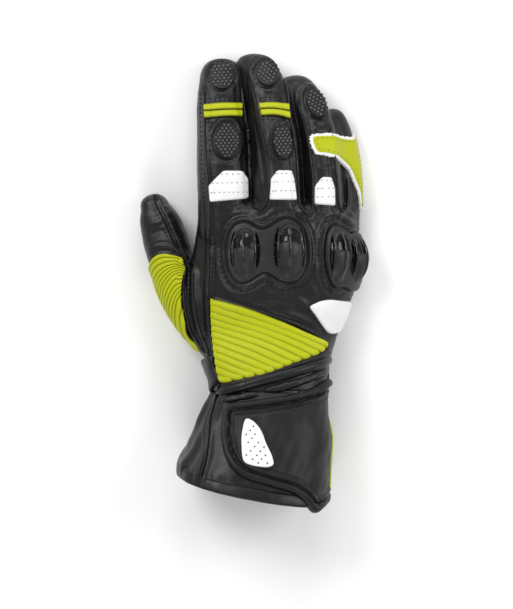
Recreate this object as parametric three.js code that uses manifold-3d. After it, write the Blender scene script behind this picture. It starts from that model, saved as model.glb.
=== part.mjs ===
// A right-hand leather racing glove, lying on its palm. Millimetres, +Z up, +Y from the cuff to the
// fingertips, +X towards the little finger. The origin is on the surface it rests on, under its middle.
import * as THREE from "three";
import { mergeVertices } from "three/addons/utils/BufferGeometryUtils.js";
import Module from "manifold-3d";

const wasm = await Module();
wasm.setup();

// Driving dimensions
const LEATHER = 2.2; // wall of the lined leather
const SEAT_GAP = 0.3; // air between two pieces that are sewn together
const PANEL = 1.3; // thickness of a sewn-on leather panel
const RIB_RISE = 1.3; // how far a stretch rib stands above its backing
const SEAM_RISE = 1.3; // height of an outside seam
const SEAM_WIDTH = 1.7;
const FINGER_SIDES = 12; // facets around a finger
const HAND_SIDES = 22; // facets around the hand and the cuff
const HEM_WIDTH = 8; // folded band round the cuff's mouth
const HEM_THICKNESS = 1.2;
const FLOOR_TO_SKY = [-5, 110]; // heights between which an outline cuts

// Turns rows of numbers into rows with named columns.
const table = (names, rows) =>
  rows.map((row) => Object.fromEntries(names.split(" ").map((name, i) => [name, row[i]])));

// The sleeve of the hand: each row is one cross-section. x is its middle, z the height of its
// mid-line, which drops towards its left and right ends. slant turns the section in plan, and lean
// carries its top forwards or back.
const sleeveColumns = "y x halfWidth halfHeight z dropLeft dropRight slant lean";
const handSections = table(sleeveColumns, [
  [-67, 7.5, 34.5, 23, 31.5, 1, 2, 0, 0],
  [-60, 8, 35, 23, 30.5, 2, 3, 0, 0],
  [-46, 7.2, 39.3, 23, 28, 5, 7, 0, 0],
  [-30, 4.5, 46, 22.8, 22, 8, 12, 0, 0],
  [-12, 6, 51.5, 21, 26, 10, 18, 0, 0],
  [8, 11, 52.5, 19.5, 29, 9, 25, 0, 0],
  [30, 12.7, 49.7, 17, 31, 7, 27, 0, 0],
  [44, 12.8, 48.5, 14.5, 31.5, 7, 27, 0, 0],
  [49, 12.8, 46, 11, 31.5, 7, 25, 0, 0],
]);

// The flared cuff, from the wrist to the slanting hem, which reaches further over the back of the
// wrist than under it.
const cuffSections = table(sleeveColumns, [
  [-67.3, 7.5, 34.5, 23, 31.5, 1, 2, 0, 0],
  [-76, 5, 37.3, 26, 32.2, 0, 0, -0.03, -1],
  [-90, 3.3, 41.2, 29.5, 34, 0, 0, -0.06, -3],
  [-105, 0.2, 43.7, 33, 35, 0, 0, -0.09, -6],
  [-115, -2.4, 45.6, 35, 35.8, 0, 0, -0.11, -8],
  [-124, -3.6, 45.2, 35.7, 36.2, 0, 0, -0.125, -10],
]);

// The finger stalls, from inside the hand to where the fingertip starts to round off.
const stallColumns = "y x z halfWidth halfHeight roll";
const fingerSections = {
  index: table(stallColumns, [
    [28, -20, 29, 15.5, 13.5, 6],
    [45, -20.4, 29.5, 16, 13.8, 8],
    [72, -21, 28.5, 16, 13.8, 8],
    [92, -21.5, 24.5, 15.2, 13.2, 9],
    [112, -22.4, 17, 14.5, 12.5, 9],
    [127, -22.3, 11.6, 13, 11.5, 8],
  ]),
  middle: table(stallColumns, [
    [28, 12.8, 32, 15, 14, 8],
    [45, 13.2, 32.5, 15.6, 14, 10],
    [72, 12.2, 31.5, 15.4, 14, 12],
    [92, 10.4, 28, 14.8, 13.5, 13],
    [112, 7.6, 20, 14.4, 12.8, 13],
    [129, 2.8, 12.6, 13.2, 12, 13],
  ]),
  ring: table(stallColumns, [
    [28, 40, 26.5, 12, 12, 20],
    [45, 40.8, 26.5, 12.8, 12.5, 22],
    [72, 39.2, 25.5, 12.6, 12.4, 22],
    [92, 36.8, 22, 12.4, 12, 22],
    [108, 32, 16.5, 11.8, 11.5, 22],
    [118, 27.6, 11.3, 10.6, 11, 22],
  ]),
  little: table(stallColumns, [
    [28, 53.2, 13, 10, 10, 40],
    [45, 53.6, 12, 10.2, 10.2, 42],
    [60, 53.8, 11.2, 10, 10.2, 44],
    [75, 52.8, 10.6, 9.8, 10, 45],
    [90, 50, 10, 9.6, 9.8, 45],
    [99, 47.2, 9.4, 8.8, 9.4, 45],
  ]),
};
const fingertipLength = { index: 12.5, middle: 14, ring: 12, little: 10 };

const thumbSections = table(stallColumns, [
  [-34, -24, 19, 13, 14, -20],
  [-22, -34.6, 17, 13.2, 15, -20],
  [-6, -44.8, 15.8, 13.2, 15.5, -20],
  [10, -51.2, 15, 12.8, 15, -20],
  [26, -56, 14, 13.6, 14, -20],
  [40, -60, 12.8, 12.4, 12.8, -20],
  [48, -62.3, 11.8, 9.8, 11.4, -20],
]);
const THUMB_TIP_LENGTH = 8;

// Reads every column of a table smoothly at position t, counted in rows.
function between(rows, t) {
  const i = Math.min(Math.floor(t), rows.length - 2);
  const f = t - i;
  const at = (k) => rows[Math.min(Math.max(k, 0), rows.length - 1)];
  const read = {};
  for (const name of Object.keys(rows[0])) {
    const [p, q, r, s] = [at(i - 1)[name], at(i)[name], at(i + 1)[name], at(i + 2)[name]];
    const m0 = (r - p) / 2;
    const m1 = (s - q) / 2;
    read[name] =
      q + m0 * f + (3 * (r - q) - 2 * m0 - m1) * f * f + (2 * (q - r) + m0 + m1) * f ** 3;
  }
  return read;
}

const flattened = (c, power) => Math.sign(c) * Math.abs(c) ** power;

// One closed ring of the hand or cuff: a squared oval bent along its dropping mid-line, and
// flattened where it would reach below the given level. A ceiling cuts it off at that height above
// its mid-line.
function sleeveRing(row, grow, level, ceiling) {
  const ring = [];
  for (let j = 0; j < HAND_SIDES; j++) {
    const angle = (2 * Math.PI * j) / HAND_SIDES;
    const across = (row.halfWidth + grow) * flattened(Math.cos(angle), 0.8);
    const out = Math.min((row.halfHeight + grow) * flattened(Math.sin(angle), 0.85), ceiling);
    const share = across / row.halfWidth;
    const [drop, power] = share < 0 ? [row.dropLeft, 2] : [row.dropRight, 2.5];
    const near = Math.min(Math.abs(share), 1);
    const slope = (-Math.sign(share) * drop * power * near ** (power - 1)) / row.halfWidth;
    const fall = drop * (near ** power + power * (Math.abs(share) - near));
    const normal = new THREE.Vector2(-slope, 1).normalize();
    ring.push(
      new THREE.Vector3(
        row.x + across + out * normal.x,
        row.y + row.slant * across + (row.lean * out) / row.halfHeight,
        Math.max(row.z - fall + out * normal.y, level - grow),
      ),
    );
  }
  return ring;
}

// How square a stall's section is, and where its outermost facets lie for that.
const STALL_SQUARENESS = 0.78;
const STALL_FLAT = Math.cos(Math.PI / FINGER_SIDES) ** STALL_SQUARENESS;

// One closed ring of a finger or thumb stall, square to its run and rolled about it.
function stallRing(row, along, grow, scale) {
  const roll = THREE.MathUtils.degToRad(row.roll);
  const level = new THREE.Vector3().crossVectors(along, new THREE.Vector3(0, 0, 1)).normalize();
  const upright = new THREE.Vector3().crossVectors(level, along);
  const width = level.clone().multiplyScalar(Math.cos(roll));
  width.addScaledVector(upright, -Math.sin(roll));
  const height = upright.clone().multiplyScalar(Math.cos(roll));
  height.addScaledVector(level, Math.sin(roll));
  const ring = [];
  for (let j = 0; j < FINGER_SIDES; j++) {
    const angle = (2 * Math.PI * (j + 0.5)) / FINGER_SIDES;
    const point = new THREE.Vector3(row.x, row.y, row.z);
    const across = ((row.halfWidth + grow) * scale) / STALL_FLAT;
    const up = ((row.halfHeight + grow) * scale) / STALL_FLAT;
    point.addScaledVector(width, across * flattened(Math.cos(angle), STALL_SQUARENESS));
    point.addScaledVector(height, up * flattened(Math.sin(angle), STALL_SQUARENESS));
    point.z = Math.max(point.z, -grow);
    ring.push(point);
  }
  return ring;
}

// Joins rings into one closed solid, with a flat or pointed face at each end.
function loft(rings) {
  const sides = rings[0].length;
  const points = rings.flat();
  const triangles = [];
  for (let i = 0; i + 1 < rings.length; i++)
    for (let j = 0; j < sides; j++) {
      const k = (j + 1) % sides;
      const [a, b] = [i * sides + j, i * sides + k];
      triangles.push(a, b, b + sides, a, b + sides, a + sides);
    }
  for (const end of [0, rings.length - 1]) {
    const middle = rings[end].reduce((sum, p) => sum.add(p), new THREE.Vector3());
    points.push(middle.divideScalar(sides));
    for (let j = 0; j < sides; j++) {
      const pair = [end * sides + j, end * sides + ((j + 1) % sides)];
      if (end === 0) pair.reverse();
      triangles.push(points.length - 1, ...pair);
    }
  }
  const solid = new wasm.Manifold(
    new wasm.Mesh({
      numProp: 3,
      vertProperties: new Float32Array(points.flatMap((p) => [p.x, p.y, p.z])),
      triVerts: new Uint32Array(triangles),
    }),
  );
  if (solid.volume() > 0) return solid;
  throw new Error("a loft is inside out");
}

// The hand's or cuff's sleeve, grown outwards, with its ends carried on where it is to be open.
function sleeve(rows, grow, { runOn = [0, 0], level = 0, ceiling = Infinity } = {}) {
  const rings = rows.map((row) => sleeveRing(row, grow, level, ceiling));
  const direction = Math.sign(rows.at(-1).y - rows[0].y);
  const moved = (ring, by) => ring.map((p) => new THREE.Vector3(p.x, p.y + by * direction, p.z));
  if (runOn[0]) rings.unshift(moved(rings[0], -runOn[0]));
  if (runOn[1]) rings.push(moved(rings.at(-1), runOn[1]));
  if (direction > 0) rings.reverse();
  return loft(rings);
}

// A finger or thumb stall, grown outwards: its rows, then a rounded tip.
function stall(rows, tipLength, grow) {
  const rings = [];
  const stretches = rows.length - 1;
  const place = (row) => new THREE.Vector3(row.x, row.y, row.z);
  let along;
  let last;
  for (let i = 0; i <= stretches; i++) {
    last = rows[i];
    const [before, after] = [between(rows, Math.max(i - 0.1, 0)), between(rows, i + 0.1)];
    if (i < stretches) along = place(after).sub(place(before)).normalize();
    rings.push(stallRing(last, along, grow, 1));
  }
  for (const degrees of [35, 68]) {
    const turn = THREE.MathUtils.degToRad(degrees);
    const centre = place(last).addScaledVector(along, (tipLength + grow) * Math.sin(turn));
    rings.push(stallRing({ ...last, ...centre }, along, grow, Math.cos(turn) ** 0.8));
  }
  return loft(rings.reverse());
}

// Upright solids cut to an outline seen from above, or from the side.
function upright(points, grow = 0, [low, high] = FLOOR_TO_SKY, turn = new THREE.Matrix4()) {
  const ring = points.map(([x, y]) => new THREE.Vector2(x, y));
  const facing = THREE.ShapeUtils.area(ring) > 0 ? 1 : -1;
  const grown = ring.map((p, i) => {
    const before = ring[(i + ring.length - 1) % ring.length];
    const after = ring[(i + 1) % ring.length];
    const [e, f] = [p.clone().sub(before).normalize(), after.clone().sub(p).normalize()];
    const outward = new THREE.Vector2(e.y + f.y, -e.x - f.x).normalize();
    const mitre = Math.max(Math.abs(outward.dot(new THREE.Vector2(e.y, -e.x))), 0.5);
    return p.clone().addScaledVector(outward, (facing * grow) / mitre);
  });
  const geometry = new THREE.ExtrudeGeometry(new THREE.Shape(grown), {
    depth: high - low,
    bevelEnabled: false,
  });
  return solidFrom(geometry.translate(0, 0, low).applyMatrix4(turn));
}

// A three.js geometry as a solid.
function solidFrom(geometry) {
  const bare = new THREE.BufferGeometry();
  bare.setAttribute("position", geometry.getAttribute("position"));
  if (geometry.index) bare.setIndex(geometry.index);
  const merged = mergeVertices(bare, 1e-4);
  return new wasm.Manifold(
    new wasm.Mesh({
      numProp: 3,
      vertProperties: new Float32Array(merged.attributes.position.array),
      triVerts: new Uint32Array(merged.index.array),
    }),
  );
}

const joined = (solids) => solids.reduce((sum, solid) => sum.add(solid));

// A box between two corners.
const block = (low, high) =>
  solidFrom(
    new THREE.BoxGeometry(high[0] - low[0], high[1] - low[1], high[2] - low[2]).translate(
      (low[0] + high[0]) / 2,
      (low[1] + high[1]) / 2,
      (low[2] + high[2]) / 2,
    ),
  );

// A smooth closed outline through a few points, or an open line through them.
const rounded = (points, count, closed = true) =>
  new THREE.CatmullRomCurve3(
    points.map(([x, y]) => new THREE.Vector3(x, y, 0)),
    closed,
    "centripetal",
  )
    .getSpacedPoints(count)
    .slice(0, closed ? count : count + 1)
    .map((p) => [p.x, p.y]);

// A ribbon of even width along an open line, as an outline.
function ribbon(points, width) {
  const side = (sign) =>
    points.map(([x, y], i) => {
      const [x0, y0] = points[Math.max(i - 1, 0)];
      const [x1, y1] = points[Math.min(i + 1, points.length - 1)];
      const length = Math.hypot(x1 - x0, y1 - y0);
      const half = (sign * width) / 2 / length;
      return [x - (y1 - y0) * half, y + (x1 - x0) * half];
    });
  return [...side(1), ...side(-1).reverse()];
}

// The cuff's leather is held off the surface by the hem that is folded round its mouth.
const CUFF_LEVEL = SEAT_GAP + HEM_THICKNESS;

// Leather shells. Each main form can be asked for at any growth, and is made once.
const made = new Map();
const form = {
  hand: (grow) => sleeve(handSections, grow, { runOn: [grow < 0 ? 4 : 0, 0] }),
  cuff: (grow) =>
    sleeve(cuffSections, grow, { runOn: grow < 0 ? [4, 4] : [0, 0], level: CUFF_LEVEL }),
  thumb: (grow) => stall(thumbSections, THUMB_TIP_LENGTH, grow),
};
for (const finger of Object.keys(fingerSections))
  form[finger] = (grow) => stall(fingerSections[finger], fingertipLength[finger], grow);
function grown(name, grow) {
  const key = name + grow;
  if (!made.has(key)) made.set(key, form[name](grow));
  return made.get(key);
}
const all = (names, grow) => joined(names.map((name) => grown(name, grow)));

// A skin that lies over the named forms, between two heights above their leather.
const skin = (names, from, to) => all(names, to).subtract(all(names, from));

const leather = new THREE.MeshStandardMaterial({ color: 0x1b1b1b, roughness: 0.5 });
const smoothLeather = new THREE.MeshStandardMaterial({ color: 0x242424, roughness: 0.45 });
const limeLeather = new THREE.MeshStandardMaterial({ color: 0xc4d11a, roughness: 0.5 });
const whiteLeather = new THREE.MeshStandardMaterial({ color: 0xf2f2f0, roughness: 0.55 });
const gripRubber = new THREE.MeshStandardMaterial({ color: 0x161616, roughness: 0.4 });
const armour = new THREE.MeshStandardMaterial({ color: 0x2b2b2b, roughness: 0.35 });
const webbing = new THREE.MeshStandardMaterial({ color: 0x202020, roughness: 0.8 });

const glove = new THREE.Group();

// The triangles of a mesh's biggest connected body: a cut can leave crumbs beside it.
function biggestBody(triangles, count) {
  const owner = Array.from({ length: count }, (_, i) => i);
  const find = (i) => {
    while (owner[i] !== i) i = owner[i] = owner[owner[i]];
    return i;
  };
  for (let i = 0; i < triangles.length; i += 3) {
    owner[find(triangles[i + 1])] = find(triangles[i]);
    owner[find(triangles[i + 2])] = find(triangles[i]);
  }
  const bodies = new Map();
  for (let i = 0; i < triangles.length; i += 3) {
    const root = find(triangles[i]);
    if (!bodies.has(root)) bodies.set(root, []);
    bodies.get(root).push(triangles[i], triangles[i + 1], triangles[i + 2]);
  }
  return [...bodies.values()].reduce((best, body) => (body.length > best.length ? body : best));
}

// Adds one solid to the glove as a named mesh.
function add(name, solid, material) {
  const { numProp, numVert, vertProperties, triVerts } = solid.getMesh();
  const positions = new Float32Array(numVert * 3);
  for (let i = 0; i < numVert; i++)
    positions.set(vertProperties.subarray(i * numProp, i * numProp + 3), i * 3);
  const whole = new THREE.BufferGeometry();
  whole.setAttribute("position", new THREE.BufferAttribute(positions, 3));
  whole.setIndex(biggestBody(triVerts, numVert));
  const geometry = mergeVertices(whole.toNonIndexed(), 1e-4);
  geometry.computeVertexNormals();
  const mesh = new THREE.Mesh(geometry, material);
  mesh.name = name;
  glove.add(mesh);
}

// The hand, open at the wrist, at its front and into the thumb. It is a back and a palm, sewn
// together along the mid-line of the sleeve, and the heel of the palm is a piece of its own.
const HEEL_END = -16; // y of the seam between the palm and its heel
const stalls = ["index", "middle", "ring", "little", "thumb"];
const handLeather = grown("hand", 0).subtract(grown("hand", -LEATHER));
const palmSide = (ceiling) => sleeve(handSections, 12, { runOn: [6, 6], ceiling });
const backLeather = handLeather.subtract(palmSide(SEAT_GAP)).subtract(all(stalls, -LEATHER));
const palmLeather = handLeather.intersect(palmSide(0)).subtract(all(["little", "thumb"], -LEATHER));
const heelSide = (end) => block([-90, -90, -20], [90, end, 90]);
add("hand_back", backLeather, leather);
add("hand_palm", palmLeather.subtract(heelSide(HEEL_END + SEAT_GAP)), leather);
add("hand_heel", palmLeather.intersect(heelSide(HEEL_END)), leather);

// The finger stalls and the thumb stall. Where two would press into each other, the later one
// gives way.
stalls.forEach((name, i) => {
  const before = name === "thumb" ? [] : stalls.slice(0, i);
  let outer = grown(name, 0).subtract(grown("hand", SEAT_GAP));
  let hollow = grown(name, -LEATHER);
  for (const neighbour of before) {
    outer = outer.subtract(grown(neighbour, SEAT_GAP));
    hollow = hollow.subtract(grown(neighbour, SEAT_GAP + LEATHER));
  }
  add(name === "thumb" ? "thumb" : `${name}_finger`, outer.subtract(hollow), leather);
});

add("gauntlet", grown("cuff", 0).subtract(grown("cuff", -LEATHER)), leather);

// Sewn-on panels: each is the part of a skin inside an outline seen from above. Seams keep clear
// of them.
const seamsAvoid = [];
function panel(name, outline, forms, from, to, material, heights = [8, 110]) {
  add(name, upright(outline, 0, heights).intersect(skin(forms, from, to)), material);
  seamsAvoid.push(upright(outline, SEAT_GAP));
}

// White perforated panels over the finger roots, on hand and finger together.
const rootPanels = {
  index: [[-20.6, 70.1], [-9.2, 70.1], [-5.8, 65.3], [-5.5, 52.9], [-29, 50.7], [-29.8, 60.8]],
  middle: [[13, 70.4], [21.4, 70.2], [23.4, 65.3], [25, 52], [7.9, 52.1], [8.6, 64.8]],
  ring: [[40.7, 66.3], [45.4, 66.1], [47.2, 59.3], [47.6, 50], [35.8, 50.4], [36, 60.5]],
};
for (const [finger, outline] of Object.entries(rootPanels))
  panel(`${finger}_root_panel`, outline, [finger], SEAT_GAP, SEAT_GAP + PANEL, whiteLeather, [20, 110]);

// Grip pads with raised dots over the finger joints: centre, half sizes and lean.
const gripPads = table("name finger x y halfWidth halfLength lean bottom", [
  ["index_tip_pad", "index", -20.8, 127, 6.6, 8.2, 4, 12],
  ["index_joint_pad", "index", -17.7, 88, 7.4, 10.4, 2, 25],
  ["middle_tip_pad", "middle", 7, 130.2, 6, 7.8, 14, 12],
  ["middle_joint_pad", "middle", 16.6, 88.5, 4.8, 9.4, 4, 25],
  ["ring_tip_pad", "ring", 36.2, 111.4, 5.2, 8.8, 22, 12],
]);
for (const pad of gripPads) {
  const lean = THREE.MathUtils.degToRad(pad.lean);
  const oval = new THREE.EllipseCurve(pad.x, pad.y, pad.halfWidth, pad.halfLength, 0, 2 * Math.PI, false, lean);
  const outline = oval.getPoints(14).slice(0, 14).map((p) => [p.x, p.y]);
  panel(pad.name, outline, [pad.finger], SEAT_GAP, SEAT_GAP + 2, gripRubber, [pad.bottom, 110]);
}

// Two-rib stretch bands across the index and middle fingers.
const stretchBands = {
  index: [[-32.3, 103.4], [-22, 105.6], [-9.2, 104], [-9.4, 111.4], [-22, 112.7], [-32.4, 111]],
  middle: [[2.2, 104.2], [10.5, 105.6], [19.9, 103.2], [19.2, 110.7], [8.6, 112.7], [0.6, 111.2]],
};
for (const [finger, outline] of Object.entries(stretchBands)) {
  const [lowLeft, lowMid, lowRight, highRight, highMid, highLeft] = outline;
  const step = (a, b, f) => [a[0] + (b[0] - a[0]) * f, a[1] + (b[1] - a[1]) * f];
  const rib = (f, g) =>
    upright([
      step(lowLeft, highLeft, f),
      step(lowMid, highMid, f),
      step(lowRight, highRight, f),
      step(lowRight, highRight, g),
      step(lowMid, highMid, g),
      step(lowLeft, highLeft, g),
    ]);
  const backing = upright(outline, 0, [17, 110]).intersect(skin([finger], SEAT_GAP, SEAT_GAP + 1));
  const ribs = joined([rib(0.04, 0.46), rib(0.54, 0.96)]);
  const raised = ribs.intersect(skin([finger], SEAT_GAP, SEAT_GAP + 1 + RIB_RISE));
  add(`${finger}_stretch_band`, backing.add(raised), limeLeather);
  seamsAvoid.push(upright(outline, SEAT_GAP));
}

// The ribbed stretch triangle on the back of the hand. Its ribs run parallel to its top edge.
const backTriangle = {
  left: [[-27.6, -11], [-27.4, -23.1], [-24.8, -45], [-20.6, -60.6]],
  foot: [[-7.4, -57.5], [14.8, -51], [33, -44.4], [39.1, -41.9]],
  top: [[41.6, -38.4], [38.6, -34.6], [28.6, -28.9], [-7.4, -17]],
};
const RIB_PITCH = 4.4; // mm between the ribs, across them
const RIB_SLOPE = THREE.MathUtils.degToRad(-20);
function ribField(start, count, pitch, slope) {
  const ribs = [];
  const length = 90;
  const across = new THREE.Vector2(Math.sin(slope), -Math.cos(slope));
  const ahead = new THREE.Vector2(Math.cos(slope), Math.sin(slope));
  for (let i = 0; i < count; i++) {
    const edge = (distance, reach) => [
      start[0] + across.x * distance + ahead.x * reach,
      start[1] + across.y * distance + ahead.y * reach,
    ];
    const [near, far] = [i * pitch + 0.35, (i + 1) * pitch - 0.35];
    ribs.push(
      upright([edge(near, -40), edge(near, length), edge(far, length), edge(far, -40)]),
    );
  }
  return joined(ribs);
}
const backOutline = [...backTriangle.left, ...backTriangle.foot, ...backTriangle.top];
const backBacking = upright(backOutline, 0, [30, 110]).intersect(
  skin(["hand"], SEAT_GAP, SEAT_GAP + 1),
);
const backRibs = upright(backOutline, -0.3)
  .intersect(skin(["hand"], SEAT_GAP, SEAT_GAP + 1 + RIB_RISE))
  .intersect(ribField([-28, -11], 11, RIB_PITCH, RIB_SLOPE));
add("back_stretch_panel", backBacking.add(backRibs), limeLeather);

// The ribbed stretch panel over the thumb's joint. Its ribs curl round the thumb.
const thumbPanelOutline = rounded(
  [
    [-74, 8], [-66, 13.5], [-60.5, 18], [-53, 18.4], [-45.8, 14.6], [-47.4, 4], [-47, -6.7],
    [-45.2, -18.8], [-42, -30.2], [-37.5, -42], [-52, -46], [-70, -20],
  ],
  22,
);
const thumbBacking = upright(thumbPanelOutline, 0, [10, 60])
  .intersect(skin(["thumb"], SEAT_GAP, SEAT_GAP + 1))
  .subtract(grown("hand", SEAT_GAP));
const thumbRibs = [];
for (let i = 0; i < 12; i++) {
  const y = 13.5 - i * 4.2;
  const arc = [
    [-78, y - 12],
    [-58, y],
    [-36, y + 5.5],
  ];
  thumbRibs.push(upright(ribbon(arc, 3.4)));
}
const thumbRaised = joined(thumbRibs)
  .intersect(upright(thumbPanelOutline, -0.3, [10, 60]))
  .intersect(skin(["thumb"], SEAT_GAP, SEAT_GAP + 1 + RIB_RISE))
  .subtract(grown("hand", SEAT_GAP));
add("thumb_stretch_panel", thumbBacking.add(thumbRaised), limeLeather);

// The white side patch below the outer knuckles.
const sidePatchOutline = rounded(
  [[33.2, -14.5], [40.1, -10.9], [48, -10.2], [60, -12.2], [66, -18], [60, -27], [52, -31.6], [46, -31]],
  16,
);
panel("side_patch", sidePatchOutline, ["hand"], SEAT_GAP, SEAT_GAP + 1.6, whiteLeather, [16, 110]);

// The bridge panel that ties the ring finger to the little finger and runs down its outer side.
const bridgeOutline = [
  [34.4, 90.6], [43.1, 92], [52, 90], [58, 90], [62.5, 93.4], [70, 90], [70, 47.5], [64.4, 47.5],
  [62.9, 56.4], [60, 63.3], [55, 72.2], [50.1, 77.6], [43.5, 79.5], [36.6, 81.6],
];
const bridgeBorder = 1.5;
const bridgeForms = ["ring", "little"];
const bridgeLayer = skin(bridgeForms, SEAT_GAP, SEAT_GAP + PANEL)
  .subtract(block([20, 0, -5], [52, 150, 18]))
  .subtract(grown("hand", SEAT_GAP));
const bridgeHeights = [8, 110];
const bridgeInside = upright(bridgeOutline, -bridgeBorder, bridgeHeights);
const bridgeFrame = upright(bridgeOutline, 0, bridgeHeights).subtract(
  upright(bridgeOutline, -bridgeBorder + SEAT_GAP, bridgeHeights),
);
add("bridge_panel", bridgeInside.intersect(bridgeLayer), limeLeather);
add("bridge_border", bridgeFrame.intersect(bridgeLayer), whiteLeather);

// Knuckle guards: a moulded plate with two domes each, and three fins on every dome.
const guards = {
  knuckle_guard_index_middle: {
    outline: [
      [-9, 38.2], [-15.8, 33.5], [-18, 24.7], [-18, 16.1], [-15.4, 5.1], [-8.8, 0.4], [-1, 3],
      [5.4, 6.4], [12.8, 3], [19.3, 0.6], [26.4, 3], [30.6, 10.7], [30.9, 25.5], [28, 33],
      [18, 40.4], [9.6, 36.6], [3.2, 33.9], [-3, 36.6],
    ],
    domes: table("x y z halfWidth halfLength height tilt", [
      [-7, 19.6, 39, 11.2, 18, 17, 0],
      [17.6, 20.6, 41, 12, 19, 18, 8],
    ]),
  },
  knuckle_guard_ring_little: {
    outline: [
      [46.6, 36.2], [43, 28.5], [42.6, 13.6], [45.4, 3], [48.4, -2.4], [53.1, -1.6], [59.6, -4.2],
      [63.2, -2.4], [68, 4.8], [72, 13.6], [72, 19.6], [65.6, 28.5], [60.8, 32.4], [56.1, 30.6],
      [51.3, 34.4],
    ],
    domes: table("x y z halfWidth halfLength height tilt", [
      [50, 17.4, 30, 9.2, 18.4, 14.5, 32],
      [59.4, 14, 18, 9.6, 17.4, 13, 52],
    ]),
  },
};
const fins = table("across halfWidth", [
  [-0.5, 0.55],
  [0, 0.55],
  [0.5, 0.55],
]);
for (const [name, guard] of Object.entries(guards)) {
  const outline = rounded(guard.outline, 26);
  const plate = upright(outline, 0, [9, 110]).intersect(skin(["hand"], SEAT_GAP, SEAT_GAP + 2.4));
  const domes = guard.domes.flatMap((dome) => {
    const swell = new THREE.SphereGeometry(1, 12, 7);
    swell.rotateX(Math.PI / 2);
    const turned = (geometry) =>
      geometry.rotateY(THREE.MathUtils.degToRad(dome.tilt)).translate(dome.x, dome.y, dome.z);
    swell.scale(dome.halfWidth, dome.halfLength, dome.height);
    const ridges = fins.map((fin) => {
      const ridge = new THREE.CylinderGeometry(1, 1, 2 * fin.halfWidth, 12);
      ridge.rotateZ(Math.PI / 2);
      const inset = Math.sqrt(1 - fin.across ** 2);
      ridge.scale(1, dome.halfLength * inset * 0.94, dome.height * inset + 0.9);
      ridge.translate(fin.across * dome.halfWidth, 0, 0);
      return solidFrom(turned(ridge));
    });
    return [solidFrom(turned(swell)), ...ridges];
  });
  const guardSolid = plate
    .add(joined(domes).intersect(upright(outline, -0.8, [9, 110])))
    .subtract(all(["hand", "ring", "little", "middle", "index"], SEAT_GAP));
  add(name, guardSolid, armour);
  seamsAvoid.push(upright(outline, SEAT_GAP));
}

// The cuff's closing flap: a panel with a thick rolled edge, wrapped round the outer side.
const flapOutline = rounded(
  [
    [46.8, -57.6], [34.5, -64.9], [21.9, -68.7], [2.9, -71.6], [-12.9, -73.8], [-19.2, -77],
    [-21.5, -83], [-21.5, -97.6], [-19.2, -107.1], [-14.8, -114.7], [-6.6, -120.4],
    [9.2, -125.4], [21.9, -129.2], [28.2, -133.7], [35.2, -142.6], [41.4, -138.4], [46, -133], [58, -128],
    [58, -60],
  ],
  34,
);
const flapInside = rounded(
  [
    [46.6, -63.2], [34, -70.6], [21.9, -74.6], [5, -76.8], [-11, -78.4], [-15.4, -84], [-15.6, -97],
    [-14.1, -104.6], [-9.7, -113], [4, -118.6], [18.7, -122.9], [30, -129.6], [37.5, -136.6],
    [44, -128], [56, -120], [56, -66],
  ],
  28,
);
const flapHeights = [17, 110];
const flapForms = ["cuff"];
const cuffEnds = block([-80, -142.6, -5], [80, -57, 110]);
const flapZone = (outline, grow) => upright(outline, grow, flapHeights).intersect(cuffEnds);
// The cuff's skin, carried on past both ends so that the flap may overhang them.
const overCuff = (from, to) =>
  sleeve(cuffSections, to, { runOn: [11, 6], level: CUFF_LEVEL }).subtract(
    sleeve(cuffSections, from, { runOn: [12, 7], level: CUFF_LEVEL }),
  );
const flapPanel = flapZone(flapInside, 0)
  .intersect(overCuff(SEAT_GAP, 2))
  .subtract(grown("hand", SEAT_GAP));
add("cuff_flap", flapPanel, smoothLeather);
const flapEdge = flapZone(flapOutline, 0)
  .subtract(upright(flapInside, SEAT_GAP))
  .intersect(overCuff(SEAT_GAP, 4.2))
  .subtract(grown("hand", SEAT_GAP));
add("cuff_flap_edge", flapEdge, leather);

const ventOutline = rounded(
  [
    [-4.7, -83.9], [-7.8, -86.4], [-9.3, -97.6], [-8.4, -109], [-3.4, -112.4], [5.5, -113.7],
    [10.2, -112], [9.6, -107.4], [6.1, -98.9], [1.7, -89],
  ],
  18,
);
panel("cuff_vent_patch", ventOutline, flapForms, 2.3, 3.2, whiteLeather, flapHeights);

// The lime panel on the flap's outer side, outlined as seen from that side: y against height.
const outerPanelOutline = [
  [-82, 46], [-92, 53], [-104, 55], [-116, 54], [-129, 50], [-131, 36], [-128, 22], [-84, 22], [-80, 34],
];
const sideways = new THREE.Matrix4().set(
  ...[0, 0, 1, 0],
  ...[1, 0, 0, 0],
  ...[0, 1, 0, 0],
  ...[0, 0, 0, 1],
);
const outerPanel = upright(outerPanelOutline, 0, [20, 90], sideways)
  .intersect(upright(flapInside, -SEAT_GAP))
  .intersect(overCuff(2.3, 3.3))
  .intersect(cuffEnds);
add("cuff_side_panel", outerPanel, limeLeather);

// The folded hem round the cuff's mouth.
const mouth = cuffSections.at(-1);
const hemZone = sleeve([{ ...mouth, y: mouth.y + HEM_WIDTH }, mouth], 12);
const hemBand = overCuff(SEAT_GAP, SEAT_GAP + HEM_THICKNESS)
  .intersect(hemZone)
  .subtract(upright(flapOutline, SEAT_GAP, flapHeights));
add("hem_binding", hemBand, leather);

// The wrist strap under the palm side, and its keeper on the thumb side.
const strapBand = skin(["hand"], SEAT_GAP, 2.2)
  .intersect(block([-80, -63, -5], [80, -47, 24]))
  .subtract(upright(flapOutline, SEAT_GAP, flapHeights));
add("wrist_strap", strapBand, webbing);
const keeperOutline = [[-35.4, -47], [-27.2, -43.5], [-21.8, -60], [-27.2, -65.2], [-36, -63]];
const keeper = upright(keeperOutline, 0, [24, 60])
  .intersect(skin(["hand"], 2.5, 4.6))
  .subtract(upright(backOutline, SEAT_GAP));
add("strap_keeper", keeper, leather);

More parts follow.
